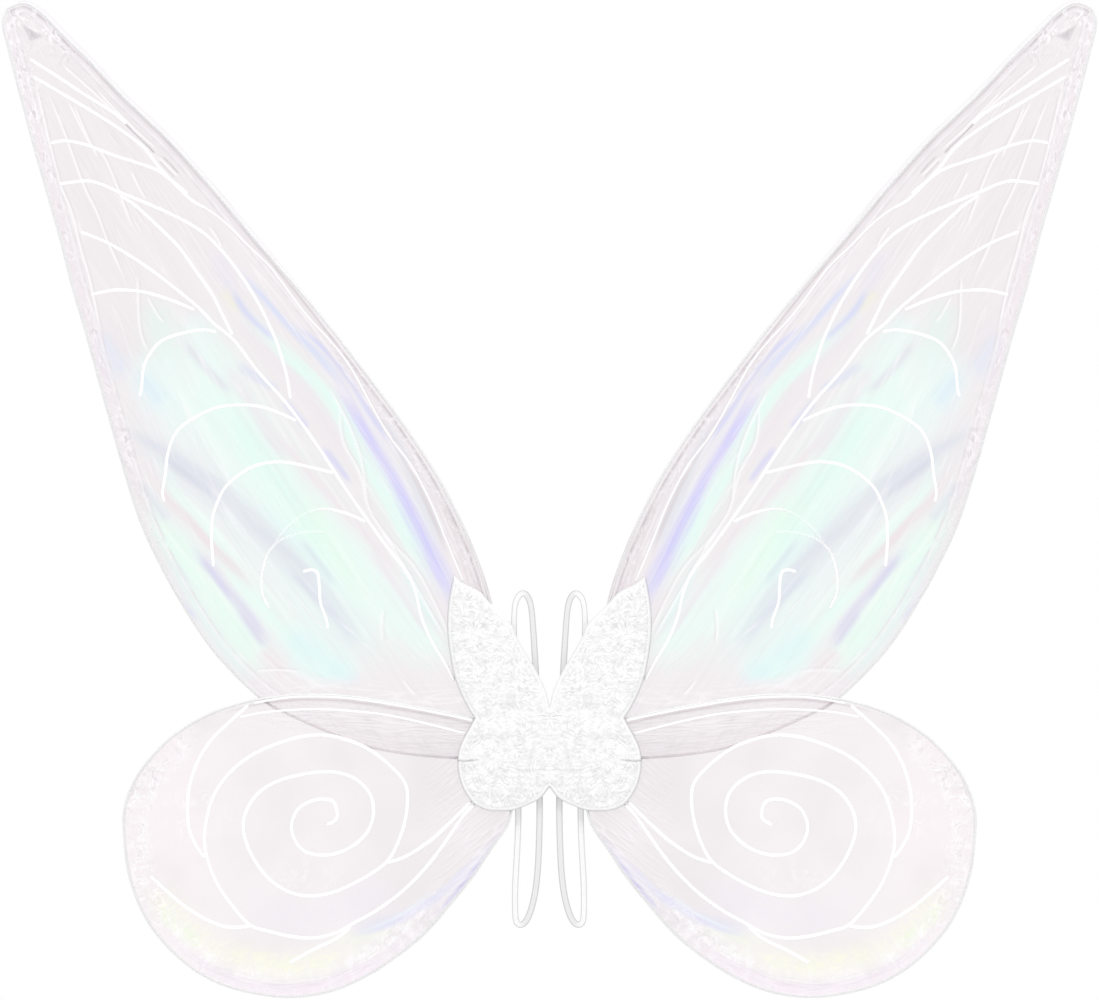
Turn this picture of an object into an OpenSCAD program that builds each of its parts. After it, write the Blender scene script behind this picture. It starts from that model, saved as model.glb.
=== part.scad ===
// Wearable fairy wings: two pairs of wire-framed film wings on a folding,
// fabric-covered centre, worn with two elastic shoulder loops.
// Upright, wings in the XZ plane, +Z up, wearer on the +Y side.
// Origin: middle of the rear face of the centre strip, against the wearer's back.

/* [Wings] */
// Span over both upper wing tips
wing_span = 853; // [700:1:950]
// Diameter of the frame wire
wire_d = 2.4; // [1.8:0.1:2.4]
// Thickness of a wing film where it is bonded
film_t = 0.4; // [0.2:0.1:0.6]
// Width of a printed vein line
vein_w = 2.2; // [1.4:0.1:3]
// Height of a vein line above the film
vein_t = 0.4; // [0.2:0.1:0.5]

/* [Centre cover] */
// Thickness of the cover fabric
fabric_t = 0.8; // [0.5:0.1:0.8]
// Thickness of the stiffening board
board_t = 1.0; // [0.6:0.1:1]
// Thickness of the wadding under the front cover
wadding_t = 1.4; // [0.8:0.1:1.4]
// Width of the centre strip between the two folds
strip_w = 7; // [5:0.5:7]
// Distance of each fold line from the centre plane
fold_x = 5; // [5:0.1:6]

/* [Shoulder loops] */
// Thickness of the elastic
elastic_t = 1.0; // [0.6:0.1:1]

/* [Hidden] */
$fn = 48;

// The patterns are drawn on a grid 1094 steps wide, tip to tip.
u = wing_span / 1094;

// Layers, counted from the wearer's back towards the outside (-Y)
total_t = 10;
fold_y = -total_t / 2;
upper_y = -3.4;               // middle of the upper wing's wire and film
lower_y = -5.9;               // middle of the lower wing's wire and film
web_r = 1.2;                  // half thickness of the fabric web at the fold
web_x = 9.5;                  // where the padded part of a half begins
sleeve_t = 0.3;               // wall of the tape round a pair of wire ends

// ---------- pattern points, in grid steps, left half ----------
// upper wing wire, from its inner end up the leading edge, round the tip and back
upper_wire = [
    [-43, 12], [-43, 34], [-47, 62], [-52, 90], [-56, 118], [-60, 147],
    [-76, 195], [-106, 259], [-144, 319], [-187, 377], [-233, 436], [-295, 508],
    [-337, 558], [-380, 606], [-425, 649], [-460, 686], [-489, 715],
    [-508, 734], [-525, 744], [-542, 738], [-546, 724], [-541, 700],
    [-515, 601], [-490, 513], [-477, 462], [-462, 411], [-445, 349],
    [-417, 251], [-400, 206], [-372, 152], [-336, 97], [-291, 51],
    [-261, 33], [-193, 4.5], [-149, -5.5], [-104, -10], [-76, -11],
    [-60, -9], [-50, -1], [-46.4, 12], [-46.4, 34]
];
// lower wing wire, from its inner end out along the top edge and back along the bottom
lower_wire = [
    [-44.7, -36], [-44.7, -14], [-47, 0], [-54, 14], [-64, 23], [-78, 28],
    [-118, 37], [-169, 46], [-208, 51], [-246, 52], [-272, 50], [-297, 46.5],
    [-327, 38], [-353, 26], [-380, 8], [-405, -19], [-419, -43], [-425, -66],
    [-425, -86], [-422, -117], [-414, -147], [-400, -176], [-379, -202],
    [-354, -223], [-327, -237], [-296, -245.5], [-260, -249.5], [-224, -245],
    [-194, -234], [-163, -216], [-128, -189], [-101, -159], [-76, -128],
    [-59, -102], [-43, -79], [-38, -62], [-38, -48], [-41.3, -34], [-41.3, -14]
];
// rows of vein lines printed on the upper wing
upper_vein_lines = [
    [[-520, 688], [-493, 671], [-466, 653], [-437, 635], [-423, 623]],
    [[-516, 670], [-487, 653], [-460, 637], [-433, 620], [-411, 604], [-401, 594],
        [-390, 579], [-370, 558], [-357, 546], [-344, 539]],
    [[-499, 604], [-482, 606], [-460, 601], [-437, 592], [-415, 585], [-393, 577],
        [-375, 564], [-362, 553]],
    [[-490, 563], [-464, 566], [-449, 563], [-433, 556], [-406, 545], [-379, 533],
        [-353, 519], [-335, 504], [-314, 479], [-292, 445], [-275, 410],
        [-268, 390], [-262, 367], [-259, 348]],
    [[-429, 551], [-415, 542], [-393, 522], [-370, 499], [-353, 475], [-337, 452],
        [-326, 430], [-317, 412]],
    [[-469, 515], [-446, 506], [-424, 494], [-397, 476], [-375, 459], [-353, 441],
        [-335, 423], [-315, 406], [-292, 376], [-261, 341], [-232, 301],
        [-199, 251], [-161, 198], [-143, 175], [-134, 155], [-128, 130],
        [-118, 106], [-104, 83], [-95, 66]],
    [[-459, 452], [-442, 456], [-429, 457], [-406, 455], [-379, 447], [-355, 437]],
    [[-333, 415], [-348, 417], [-370, 413], [-388, 406], [-399, 394], [-406, 379],
        [-408, 359], [-410, 350]],
    [[-253, 326], [-268, 333], [-288, 340], [-308, 342], [-330, 340], [-348, 333],
        [-366, 322], [-376, 310], [-382, 292], [-384, 274], [-387, 254], [-385, 245]],
    [[-216, 274], [-236, 279], [-259, 284], [-274, 285], [-292, 282], [-308, 274],
        [-324, 260], [-332, 245], [-337, 229], [-338, 207], [-336, 180]],
    [[-184, 225], [-194, 230], [-210, 237], [-228, 240], [-239, 241], [-254, 231],
        [-268, 220], [-277, 207]],
    [[-225, 215], [-241, 215], [-257, 212], [-270, 206], [-280, 196], [-285, 184],
        [-288, 169], [-287, 153], [-280, 138]],
    [[-247, 175], [-239, 177], [-232, 174], [-230, 158], [-229, 144], [-223, 127],
        [-222, 118]]
];
// the lower wing's spiral and the lines that leave it
lower_vein_lines = [
    [[-223, -78], [-214, -73], [-212, -66], [-216, -55], [-225, -52], [-235, -53],
        [-248, -59], [-255, -68], [-258, -81], [-254, -94], [-245, -104],
        [-230, -108], [-212, -106], [-194, -97], [-181, -83], [-176, -66],
        [-179, -48], [-191, -34], [-209, -26], [-230, -25], [-255, -29],
        [-276, -36], [-293, -48], [-304, -66], [-306, -83], [-301, -101],
        [-291, -119], [-278, -134], [-260, -145], [-240, -149], [-219, -146],
        [-199, -138], [-179, -127], [-163, -115], [-153, -99], [-145, -76],
        [-142, -53], [-145, -35], [-161, -17], [-181, -2], [-202, 7],
        [-225, 12], [-250, 10], [-276, 2], [-299, -9], [-319, -25],
        [-334, -45], [-342, -68], [-345, -91], [-342, -112], [-332, -137],
        [-316, -160], [-299, -178], [-281, -184], [-260, -189], [-237, -191],
        [-214, -186], [-194, -175], [-174, -164], [-148, -145], [-125, -122],
        [-107, -99], [-92, -76], [-84, -64]],
    [[-163, -116], [-143, -109], [-120, -94], [-103, -79]],
    [[-301, 42], [-321, 24], [-339, 6], [-352, -15], [-360, -40], [-362, -63],
        [-360, -83], [-353, -99], [-344, -111]],
    [[-399, -129], [-385, -142], [-365, -159], [-342, -173], [-321, -180], [-299, -179]],
    [[-199, -180], [-214, -192], [-237, -203], [-260, -216]]
];
// half of the cover, from the lower notch round the lobe and the wing-shaped top
cover_low = [
    [0, -40], [-9, -51], [-22, -58], [-36, -63], [-49, -64], [-62, -63],
    [-75, -57], [-85, -44], [-90, -31], [-92, -18], [-91, -4], [-87, 7], [-81, 18], [-75, 29]
];
cover_side = [
    [-75, 29], [-82, 40], [-90, 56], [-96, 74], [-100, 96], [-102, 114],
    [-102, 133], [-100, 151], [-96, 172]
];
cover_top = [
    [-96, 172], [-85, 163], [-69, 155], [-58, 143], [-38, 123], [-32, 109],
    [-13, 76], [-4, 57], [0, 40]
];
// outer and inner edge of a shoulder loop's elastic as it lies flat
loop_outer = [
    [-27, 158], [-33.5, 153], [-37.5, 141], [-38.6, 110], [-37.3, 40], [-35.3, -20],
    [-34.5, -64], [-35.5, -98], [-37.5, -138], [-37.4, -170], [-36, -180],
    [-31, -184.5], [-24.5, -182], [-17, -171], [-11.5, -148], [-8.3, -123],
    [-6.7, -88], [-6.6, -51], [-7.7, 0], [-9.7, 60], [-12.2, 104],
    [-14.8, 136], [-18, 150], [-22, 156]
];
loop_inner = [
    [-26.5, 150.5], [-30.5, 146], [-32.3, 136], [-32.3, 107], [-31, 40], [-28.8, -20],
    [-27.8, -64], [-28.7, -98], [-31, -138], [-31.3, -162], [-30.5, -171],
    [-27, -172], [-22.5, -163], [-18, -147], [-15.3, -123], [-13.8, -88],
    [-13.2, -51], [-14.3, 0], [-16.3, 60], [-18.6, 104], [-20.8, 136], [-23, 146]
];
// places of the three bar tacks on the loop's inner strand
tack_at = [[-12.3, 38], [-11, 0], [-10.4, -32]];
// outline of the stiffening board and of the wadding
board_line = [
    [-18, -47], [-36, -54], [-49, -56], [-62, -55], [-71, -49], [-78, -38],
    [-82, -25], [-82, -8], [-77, 6], [-68, 20], [-67, 32], [-74, 48],
    [-82, 62], [-88, 78], [-92, 97], [-94, 115], [-93, 132], [-90, 148],
    [-83, 153], [-72, 145], [-62, 134], [-46, 112], [-38, 98], [-22, 70], [-18, 60]
];

// ---------- helpers ----------
function catmull(a, b, c, d, t) =
    0.5 * (2 * b + (c - a) * t + (2 * a - 5 * b + 4 * c - d) * t * t
        + (3 * b - a - 3 * c + d) * t * t * t);
function smooth(p, n) = let (m = len(p) - 1)
    concat([for (i = [0 : m - 1], k = [0 : n - 1])
        catmull(p[max(i - 1, 0)], p[i], p[i + 1], p[min(i + 2, m)], k / n)], [p[m]]);
// the same for a closed line
function smooth_loop(p, n) = let (m = len(p))
    [for (i = [0 : m - 1], k = [0 : n - 1])
        catmull(p[(i + m - 1) % m], p[i], p[(i + 1) % m], p[(i + 2) % m], k / n)];
function grid(p) = [for (q = p) q * u];
function along(p) = let (m = len(p) - 1)
    [for (i = [0 : m]) let (v = p[min(i + 1, m)] - p[max(i - 1, 0)]) v / norm(v)];
function aside(p, d) = let (t = along(p))
    [for (i = [0 : len(p) - 1]) p[i] + d * [-t[i][1], t[i][0]]];
function turned(p) = [for (i = [len(p) - 1 : -1 : 0]) p[i]];
function part_of(p, a, b) = [for (i = [a : b]) p[i]];

cover_edge = grid(concat(smooth(cover_low, 2), smooth(cover_side, 2), smooth(cover_top, 2)));

// a plate drawn in the XZ plane, its rear face at y and its thickness towards the outside
module plate(y, t) translate([0, y, 0]) rotate([90, 0, 0]) linear_extrude(t) children();

// a round wire along a plane path
module wire(path, y, d, sides = 8) {
    n = len(path);
    t = along(path);
    points = [for (i = [0 : n - 1], k = [0 : sides - 1])
        let (a = 360 * (k + 0.5) / sides)
        [path[i][0] - t[i][1] * cos(a) * d / 2, y + sin(a) * d / 2,
            path[i][1] + t[i][0] * cos(a) * d / 2]];
    faces = concat(
        [[for (k = [sides - 1 : -1 : 0]) k]],
        [for (i = [0 : n - 2], k = [0 : sides - 1])
            [i * sides + k, i * sides + (k + 1) % sides, (i + 1) * sides + (k + 1) % sides]],
        [for (i = [0 : n - 2], k = [0 : sides - 1])
            [i * sides + k, (i + 1) * sides + (k + 1) % sides, (i + 1) * sides + k]],
        [[for (k = [0 : sides - 1]) (n - 1) * sides + k]]);
    polyhedron(points, faces);
}

// a flat line of constant width along a plane path
module ribbon(path, w)
    polygon(concat(aside(path, w / 2), turned(aside(path, -w / 2))));

// the half cover's outline between two distances from the centre plane
module cover_between(x0, x1) intersection() {
    polygon(cover_edge);
    translate([-x1, -200]) square([x1 - x0, 400]);
}

// ---------- centre strip ----------
// the strip's outline, with the notches of the cover above and below
module strip_outline(w) polygon([
    [-w / 2, 57 * u], [0, 40 * u], [w / 2, 57 * u], [w / 2, -44.5 * u], [0, -40 * u], [-w / 2, -44.5 * u]
]);
module centre_rear_fabric() color("whitesmoke")
    plate(0, fabric_t) strip_outline(strip_w);
module centre_hinge_tape() color("gainsboro")
    plate(-fabric_t, 8.2 - 2 * fabric_t) intersection() {
        strip_outline(strip_w);
        translate([-10, -29]) square([20, 59]);
    }
module centre_front_fabric() color("white")
    plate(fabric_t - 8.2, fabric_t) strip_outline(strip_w);

// ---------- one side ----------
module upper_frame() color("silver") wire(grid(smooth(upper_wire, 2)), upper_y, wire_d);
module lower_frame() color("silver") wire(grid(smooth(lower_wire, 2)), lower_y, wire_d);
module upper_film() color([0.94, 0.92, 0.95, 0.6])
    plate(upper_y + film_t / 2, film_t)
        polygon(grid(smooth(part_of(upper_wire, 2, 37), 2)));
module lower_film() color([0.94, 0.92, 0.94, 0.6])
    plate(lower_y + film_t / 2, film_t)
        polygon(grid(smooth(part_of(lower_wire, 4, 35), 2)));
module upper_veins() color("white")
    plate(upper_y - film_t / 2, vein_t)
        for (p = upper_vein_lines) ribbon(grid(smooth(p, 2)), vein_w);
module lower_veins() color("white")
    plate(lower_y - film_t / 2, vein_t)
        for (p = lower_vein_lines) ribbon(grid(smooth(p, 2)), vein_w);

// a board that keeps the half cover flat, and the wires' inner ends on it
module stiffener() color("burlywood")
    plate(-fabric_t, board_t) polygon(grid(smooth(board_line, 2)));
// tape wound round the two ends of one wing's wire
module binding(x, z0, z1, y) color("ivory") {
    w = 3.35 * u + wire_d + 0.6;
    difference() {
        translate([x * u - w / 2 - sleeve_t, y - wire_d / 2 - sleeve_t, z0 * u])
            cube([w + 2 * sleeve_t, wire_d + 2 * sleeve_t, (z1 - z0) * u]);
        translate([x * u - w / 2, y - wire_d / 2, z0 * u - 1])
            cube([w, wire_d, (z1 - z0) * u + 2]);
    }
}
module upper_binding() binding(-44.7, 15, 31, upper_y);
module lower_binding() binding(-43, -33, -17, lower_y);
// strips of tape laid over the wires and on the board
module leg_tape() color("beige") {
    plate(-7.5, 0.2) translate([-66 * u, 34 * u]) square([40 * u, 14 * u]);
    plate(-7.5, 0.2) translate([-72 * u, -8 * u]) square([46 * u, 16 * u]);
    plate(-7.5, 0.2) translate([-62 * u, -50 * u]) square([36 * u, 14 * u]);
}
module wadding() color("snow")
    plate(fabric_t + wadding_t - total_t, wadding_t) polygon(grid(smooth(board_line, 2)));

// one face of the padded half: its plate, the step at the fold and half of the thin web
module rear_cover() color("whitesmoke") {
    plate(0, fabric_t) cover_between(web_x, 110);
    plate(0, total_t / 2) cover_between(web_x, web_x + fabric_t);
    plate(fold_y + web_r, web_r) cover_between(fold_x, web_x + fabric_t);
    intersection() {
        translate([-fold_x, fold_y, -30]) cylinder(r = web_r, h = 66);
        translate([-fold_x, fold_y, -50]) cube([5, 5, 100]);
    }
}
module front_cover() color("white") {
    plate(fabric_t - total_t, fabric_t) cover_between(web_x, 110);
    plate(fold_y, total_t / 2) cover_between(web_x, web_x + fabric_t);
    plate(fold_y, web_r) cover_between(fold_x, web_x + fabric_t);
    intersection() {
        translate([-fold_x, fold_y, -30]) cylinder(r = web_r, h = 66);
        translate([-fold_x, fold_y - 5, -50]) cube([5, 5, 100]);
    }
}
// separate stitches just inside the cover's edge
module edge_stitching() color("lightgray") {
    line = aside(grid(smooth(concat(part_of(cover_low, 2, 12), part_of(cover_side, 1, 7)), 4)), -2.6);
    top = aside(grid(smooth(part_of(cover_top, 1, 6), 4)), -2.6);
    for (run = [line, top])
        for (i = [1 : 2 : len(run) - 2]) let (v = along(run)[i])
            translate([run[i][0], -total_t, run[i][1]])
                rotate([0, -atan2(v[1], v[0]), 0])
                    translate([-1.5, -0.3, -0.3]) cube([3, 0.3, 0.6]);
}
// bar tacks that sew the loop's inner strand along the fold
module strap_tacks() color("lightgray")
    for (q = tack_at)
        translate([q[0] * u - 2.1, 0.6 + elastic_t, q[1] * u - 0.6]) cube([4.2, 0.25, 1.2]);
// a closed loop of flat elastic
module strap() color("gainsboro")
    plate(0.6 + elastic_t, elastic_t) difference() {
        polygon(grid(smooth_loop(loop_outer, 2)));
        polygon(grid(smooth_loop(loop_inner, 2)));
    }

module right() mirror([1, 0, 0]) children();

centre_rear_fabric();
centre_front_fabric();
centre_hinge_tape();
upper_frame();  // left_upper_frame
upper_film();  // left_upper_film
upper_veins();  // left_upper_veins
lower_frame();  // left_lower_frame
lower_film();  // left_lower_film
lower_veins();  // left_lower_veins
stiffener();  // left_stiffener
upper_binding();  // left_upper_binding
lower_binding();  // left_lower_binding
leg_tape();  // left_leg_tape
wadding();  // left_wadding
rear_cover();  // left_rear_cover
front_cover();  // left_front_cover
edge_stitching();  // left_edge_stitching
strap_tacks();  // left_strap_tacks
strap();  // left_strap
right() upper_frame();  // right_upper_frame
right() upper_film();  // right_upper_film
right() upper_veins();  // right_upper_veins
right() lower_frame();  // right_lower_frame
right() lower_film();  // right_lower_film
right() lower_veins();  // right_lower_veins
right() stiffener();  // right_stiffener
right() upper_binding();  // right_upper_binding
right() lower_binding();  // right_lower_binding
right() leg_tape();  // right_leg_tape
right() wadding();  // right_wadding
right() rear_cover();  // right_rear_cover
right() front_cover();  // right_front_cover
right() edge_stitching();  // right_edge_stitching
right() strap_tacks();  // right_strap_tacks
right() strap();  // right_strap
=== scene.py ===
import math
import bpy
import numpy as np
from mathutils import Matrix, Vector
from mathutils.bvhtree import BVHTree
from mathutils.geometry import delaunay_2d_cdt


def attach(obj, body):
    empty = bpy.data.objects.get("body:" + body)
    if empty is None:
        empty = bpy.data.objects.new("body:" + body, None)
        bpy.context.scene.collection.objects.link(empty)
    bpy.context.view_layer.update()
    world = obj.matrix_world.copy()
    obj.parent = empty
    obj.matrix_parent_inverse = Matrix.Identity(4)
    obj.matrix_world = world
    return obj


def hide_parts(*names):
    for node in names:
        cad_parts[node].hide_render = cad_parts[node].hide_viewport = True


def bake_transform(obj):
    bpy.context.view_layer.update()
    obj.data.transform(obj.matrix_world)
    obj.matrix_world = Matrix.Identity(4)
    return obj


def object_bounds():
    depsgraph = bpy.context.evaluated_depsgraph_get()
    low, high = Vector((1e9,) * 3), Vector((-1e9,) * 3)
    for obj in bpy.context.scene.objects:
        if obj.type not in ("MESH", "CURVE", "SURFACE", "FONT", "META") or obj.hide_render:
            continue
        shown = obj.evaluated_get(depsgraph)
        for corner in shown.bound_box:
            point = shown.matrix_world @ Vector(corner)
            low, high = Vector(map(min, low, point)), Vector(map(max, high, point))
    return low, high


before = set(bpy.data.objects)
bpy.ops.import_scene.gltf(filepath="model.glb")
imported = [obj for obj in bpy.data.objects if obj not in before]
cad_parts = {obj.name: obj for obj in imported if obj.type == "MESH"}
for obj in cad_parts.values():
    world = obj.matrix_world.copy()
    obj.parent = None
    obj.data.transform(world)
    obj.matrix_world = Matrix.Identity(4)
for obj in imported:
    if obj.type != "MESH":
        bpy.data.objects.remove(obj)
cad_low, cad_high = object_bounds()
scene = bpy.context.scene

MM = 0.001
U = 0.853 / 1094                      # one step of the pattern grid, in metres
WIRE_R = 1.2 * MM
UPPER_Y, LOWER_Y = -3.4 * MM, -5.9 * MM
FOLD = (-5.0 * MM, -5.0 * MM)

# ------------------------------------------------------------------ pattern points, in grid steps
upper_wire = [
    (-43, 12), (-43, 34), (-47, 62), (-52, 90), (-56, 118), (-60, 147),
    (-76, 195), (-106, 259), (-144, 319), (-187, 377), (-233, 436), (-295, 508),
    (-337, 558), (-380, 606), (-425, 649), (-460, 686), (-489, 715),
    (-508, 734), (-525, 744), (-542, 738), (-546, 724), (-541, 700),
    (-515, 601), (-490, 513), (-477, 462), (-462, 411), (-445, 349),
    (-417, 251), (-400, 206), (-372, 152), (-336, 97), (-291, 51),
    (-261, 33), (-193, 4.5), (-149, -5.5), (-104, -10), (-76, -11),
    (-60, -9), (-50, -1), (-46.4, 12), (-46.4, 34)]
lower_wire = [
    (-44.7, -36), (-44.7, -14), (-47, 0), (-54, 14), (-64, 23), (-78, 28),
    (-118, 37), (-169, 46), (-208, 51), (-246, 52), (-272, 50), (-297, 46.5),
    (-327, 38), (-353, 26), (-380, 8), (-405, -19), (-419, -43), (-425, -66),
    (-425, -86), (-422, -117), (-414, -147), (-400, -176), (-379, -202),
    (-354, -223), (-327, -237), (-296, -245.5), (-260, -249.5), (-224, -245),
    (-194, -234), (-163, -216), (-128, -189), (-101, -159), (-76, -128),
    (-59, -102), (-43, -79), (-38, -62), (-38, -48), (-41.3, -34), (-41.3, -14)]
upper_veins = [
    [(-520, 688), (-493, 671), (-466, 653), (-437, 635), (-423, 623)],
    [(-516, 670), (-487, 653), (-460, 637), (-433, 620), (-411, 604), (-401, 594),
     (-390, 579), (-370, 558), (-357, 546), (-344, 539)],
    [(-499, 604), (-482, 606), (-460, 601), (-437, 592), (-415, 585), (-393, 577),
     (-375, 564), (-362, 553)],
    [(-490, 563), (-464, 566), (-449, 563), (-433, 556), (-406, 545), (-379, 533),
     (-353, 519), (-335, 504), (-314, 479), (-292, 445), (-275, 410),
     (-268, 390), (-262, 367), (-259, 348)],
    [(-429, 551), (-415, 542), (-393, 522), (-370, 499), (-353, 475), (-337, 452),
     (-326, 430), (-317, 412)],
    [(-469, 515), (-446, 506), (-424, 494), (-397, 476), (-375, 459), (-353, 441),
     (-335, 423), (-315, 406), (-292, 376), (-261, 341), (-232, 301),
     (-199, 251), (-161, 198), (-143, 175), (-134, 155), (-128, 130),
     (-118, 106), (-104, 83), (-95, 66)],
    [(-459, 452), (-442, 456), (-429, 457), (-406, 455), (-379, 447), (-355, 437)],
    [(-333, 415), (-348, 417), (-370, 413), (-388, 406), (-399, 394), (-406, 379),
     (-408, 359), (-410, 350)],
    [(-253, 326), (-268, 333), (-288, 340), (-308, 342), (-330, 340), (-348, 333),
     (-366, 322), (-376, 310), (-382, 292), (-384, 274), (-387, 254), (-385, 245)],
    [(-216, 274), (-236, 279), (-259, 284), (-274, 285), (-292, 282), (-308, 274),
     (-324, 260), (-332, 245), (-337, 229), (-338, 207), (-336, 180)],
    [(-184, 225), (-194, 230), (-208, 235), (-224, 238), (-238, 236), (-251, 229),
     (-264, 218), (-275, 204)],
    [(-225, 215), (-241, 215), (-257, 212), (-270, 206), (-280, 196), (-285, 184),
     (-288, 169), (-287, 153), (-280, 138)],
    [(-247, 175), (-239, 177), (-232, 174), (-230, 158), (-229, 144), (-223, 127),
     (-222, 118)]]
lower_veins = [
    [(-223, -78), (-214, -73), (-212, -66), (-216, -55), (-225, -52), (-235, -53),
     (-248, -59), (-255, -68), (-258, -81), (-254, -94), (-245, -104),
     (-230, -108), (-212, -106), (-194, -97), (-181, -83), (-176, -66),
     (-179, -48), (-191, -34), (-209, -26), (-230, -25), (-255, -29),
     (-276, -36), (-293, -48), (-304, -66), (-306, -83), (-301, -101),
     (-291, -119), (-278, -134), (-260, -145), (-240, -149), (-219, -146),
     (-199, -138), (-179, -127), (-163, -115), (-153, -99), (-145, -76),
     (-142, -53), (-145, -35), (-161, -17), (-181, -2), (-202, 7),
     (-225, 12), (-250, 10), (-276, 2), (-299, -9), (-319, -25),
     (-334, -45), (-342, -68), (-345, -91), (-342, -112), (-332, -137),
     (-316, -160), (-299, -178), (-281, -184), (-260, -189), (-237, -191),
     (-214, -186), (-194, -175), (-174, -164), (-148, -145), (-125, -122),
     (-107, -99), (-92, -77), (-83, -65), (-75, -57)],
    [(-163, -116), (-143, -109), (-120, -94), (-103, -79), (-89, -65), (-78, -54)],
    [(-301, 42), (-321, 24), (-339, 6), (-352, -15), (-360, -40), (-362, -63),
     (-360, -83), (-353, -99), (-344, -111)],
    [(-399, -129), (-385, -142), (-365, -159), (-342, -173), (-321, -180), (-299, -179)],
    [(-199, -180), (-214, -192), (-237, -203), (-260, -216)]]
# bright weld line inside the upper wing's leading hem
upper_welds = [
    [(-352, 543), (-344, 539), (-326, 526), (-304, 504), (-281, 482), (-270, 468), (-243, 432),
     (-221, 408), (-201, 383), (-181, 347), (-161, 312), (-138, 281), (-120, 247), (-107, 216),
     (-95, 187), (-86, 165)]]
# bright weld lines that run inside the lower wing's top edge
lower_welds = [
    [(-296, 44), (-270, 48.5), (-246, 50.5), (-208, 49.5), (-168, 44.5), (-118, 35.5), (-76, 26.5)],
    [(-310, 30), (-283, 35), (-250, 37.5), (-218, 37.5), (-168, 33), (-125, 24), (-80, 12.5)]]
cover_low = [
    (0, -40), (-9, -51), (-22, -58), (-36, -63), (-49, -64), (-62, -63),
    (-75, -57), (-85, -44), (-90, -31), (-92, -18), (-91, -4), (-87, 7), (-81, 18), (-75, 29)]
cover_side = [
    (-75, 29), (-82, 40), (-90, 56), (-96, 74), (-100, 96), (-102, 114),
    (-102, 133), (-100, 151), (-96, 172)]
cover_top = [
    (-96, 172), (-85, 163), (-69, 155), (-58, 143), (-38, 123), (-32, 109),
    (-13, 76), (-4, 57), (0, 40)]
loop_outer = [
    (-27, 158), (-33.5, 153), (-37.5, 141), (-38.6, 110), (-37.3, 40), (-35.3, -20),
    (-34.5, -64), (-35.5, -98), (-37.5, -138), (-37.4, -170), (-36, -180),
    (-31, -184.5), (-24.5, -182), (-17, -171), (-11.5, -148), (-8.3, -123),
    (-6.7, -88), (-6.6, -51), (-7.7, 0), (-9.7, 60), (-12.2, 104),
    (-14.8, 136), (-18, 150), (-22, 156)]
loop_inner = [
    (-26.5, 150.5), (-30.5, 146), (-32.3, 136), (-32.3, 107), (-31, 40), (-28.8, -20),
    (-27.8, -64), (-28.7, -98), (-31, -138), (-31.3, -162), (-30.5, -171),
    (-27, -172), (-22.5, -163), (-18, -147), (-15.3, -123), (-13.8, -88),
    (-13.2, -51), (-14.3, 0), (-16.3, 60), (-18.6, 104), (-20.8, 136), (-23, 146)]


# ------------------------------------------------------------------ curve and noise helpers
def catmull(points, n=16, closed=False):
    p = np.array(points, float)
    m = len(p)
    out = []
    last = m if closed else m - 1
    t = np.linspace(0, 1, n, endpoint=False)[:, None]
    for i in range(last):
        if closed:
            a, b, c, d = p[(i - 1) % m], p[i], p[(i + 1) % m], p[(i + 2) % m]
        else:
            a, b, c, d = p[max(i - 1, 0)], p[i], p[i + 1], p[min(i + 2, m - 1)]
        out.append(0.5 * (2 * b + (c - a) * t + (2 * a - 5 * b + 4 * c - d) * t ** 2
                          + (3 * b - a - 3 * c + d) * t ** 3))
    if not closed:
        out.append(p[-1:])
    return np.concatenate(out)


def arclength(p):
    return np.concatenate([[0], np.cumsum(np.linalg.norm(np.diff(p, axis=0), axis=1))])


def resample(p, count):
    a = arclength(p)
    s = np.linspace(0, a[-1], count)
    return np.stack([np.interp(s, a, p[:, k]) for k in range(p.shape[1])], 1)


def soften(p, passes):
    """A light smoothing of an open curve that keeps its ends."""
    p = p.copy()
    for _ in range(passes):
        p[1:-1] = 0.25 * p[:-2] + 0.5 * p[1:-1] + 0.25 * p[2:]
    return p


def tangents(p, closed=False):
    if closed:
        v = np.roll(p, -1, 0) - np.roll(p, 1, 0)
    else:
        v = np.gradient(p, axis=0)
    return v / np.maximum(np.linalg.norm(v, axis=1, keepdims=True), 1e-12)


def hash01(i, j, seed):
    h = (i.astype(np.int64) * 374761393 + j.astype(np.int64) * 668265263
         + int(seed) * 1442695041) & 0xFFFFFFFF
    h = ((h ^ (h >> 13)) * 1274126177) & 0xFFFFFFFF
    h = h ^ (h >> 16)
    return (h & 0xFFFFFF).astype(float) / 0xFFFFFF


def gnoise(x, y, seed=0):
    """Smooth gradient noise, about -1 to 1."""
    xi, yi = np.floor(x).astype(np.int64), np.floor(y).astype(np.int64)
    fx, fy = x - xi, y - yi
    ux, uy = fx ** 3 * (fx * (fx * 6 - 15) + 10), fy ** 3 * (fy * (fy * 6 - 15) + 10)

    def corner(di, dj):
        a = hash01(xi + di, yi + dj, seed) * 2 * math.pi
        return np.cos(a) * (fx - di) + np.sin(a) * (fy - dj)
    n = ((corner(0, 0) * (1 - ux) + corner(1, 0) * ux) * (1 - uy)
         + (corner(0, 1) * (1 - ux) + corner(1, 1) * ux) * uy)
    return n * 1.5


def fnoise(x, y, seed=0, octaves=3, gain=0.5):
    total, amp = np.zeros_like(x), 1.0
    for k in range(octaves):
        total = total + amp * gnoise(x * 2 ** k + 17.3 * k, y * 2 ** k - 9.1 * k, seed + 31 * k)
        amp *= gain
    return total


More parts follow.
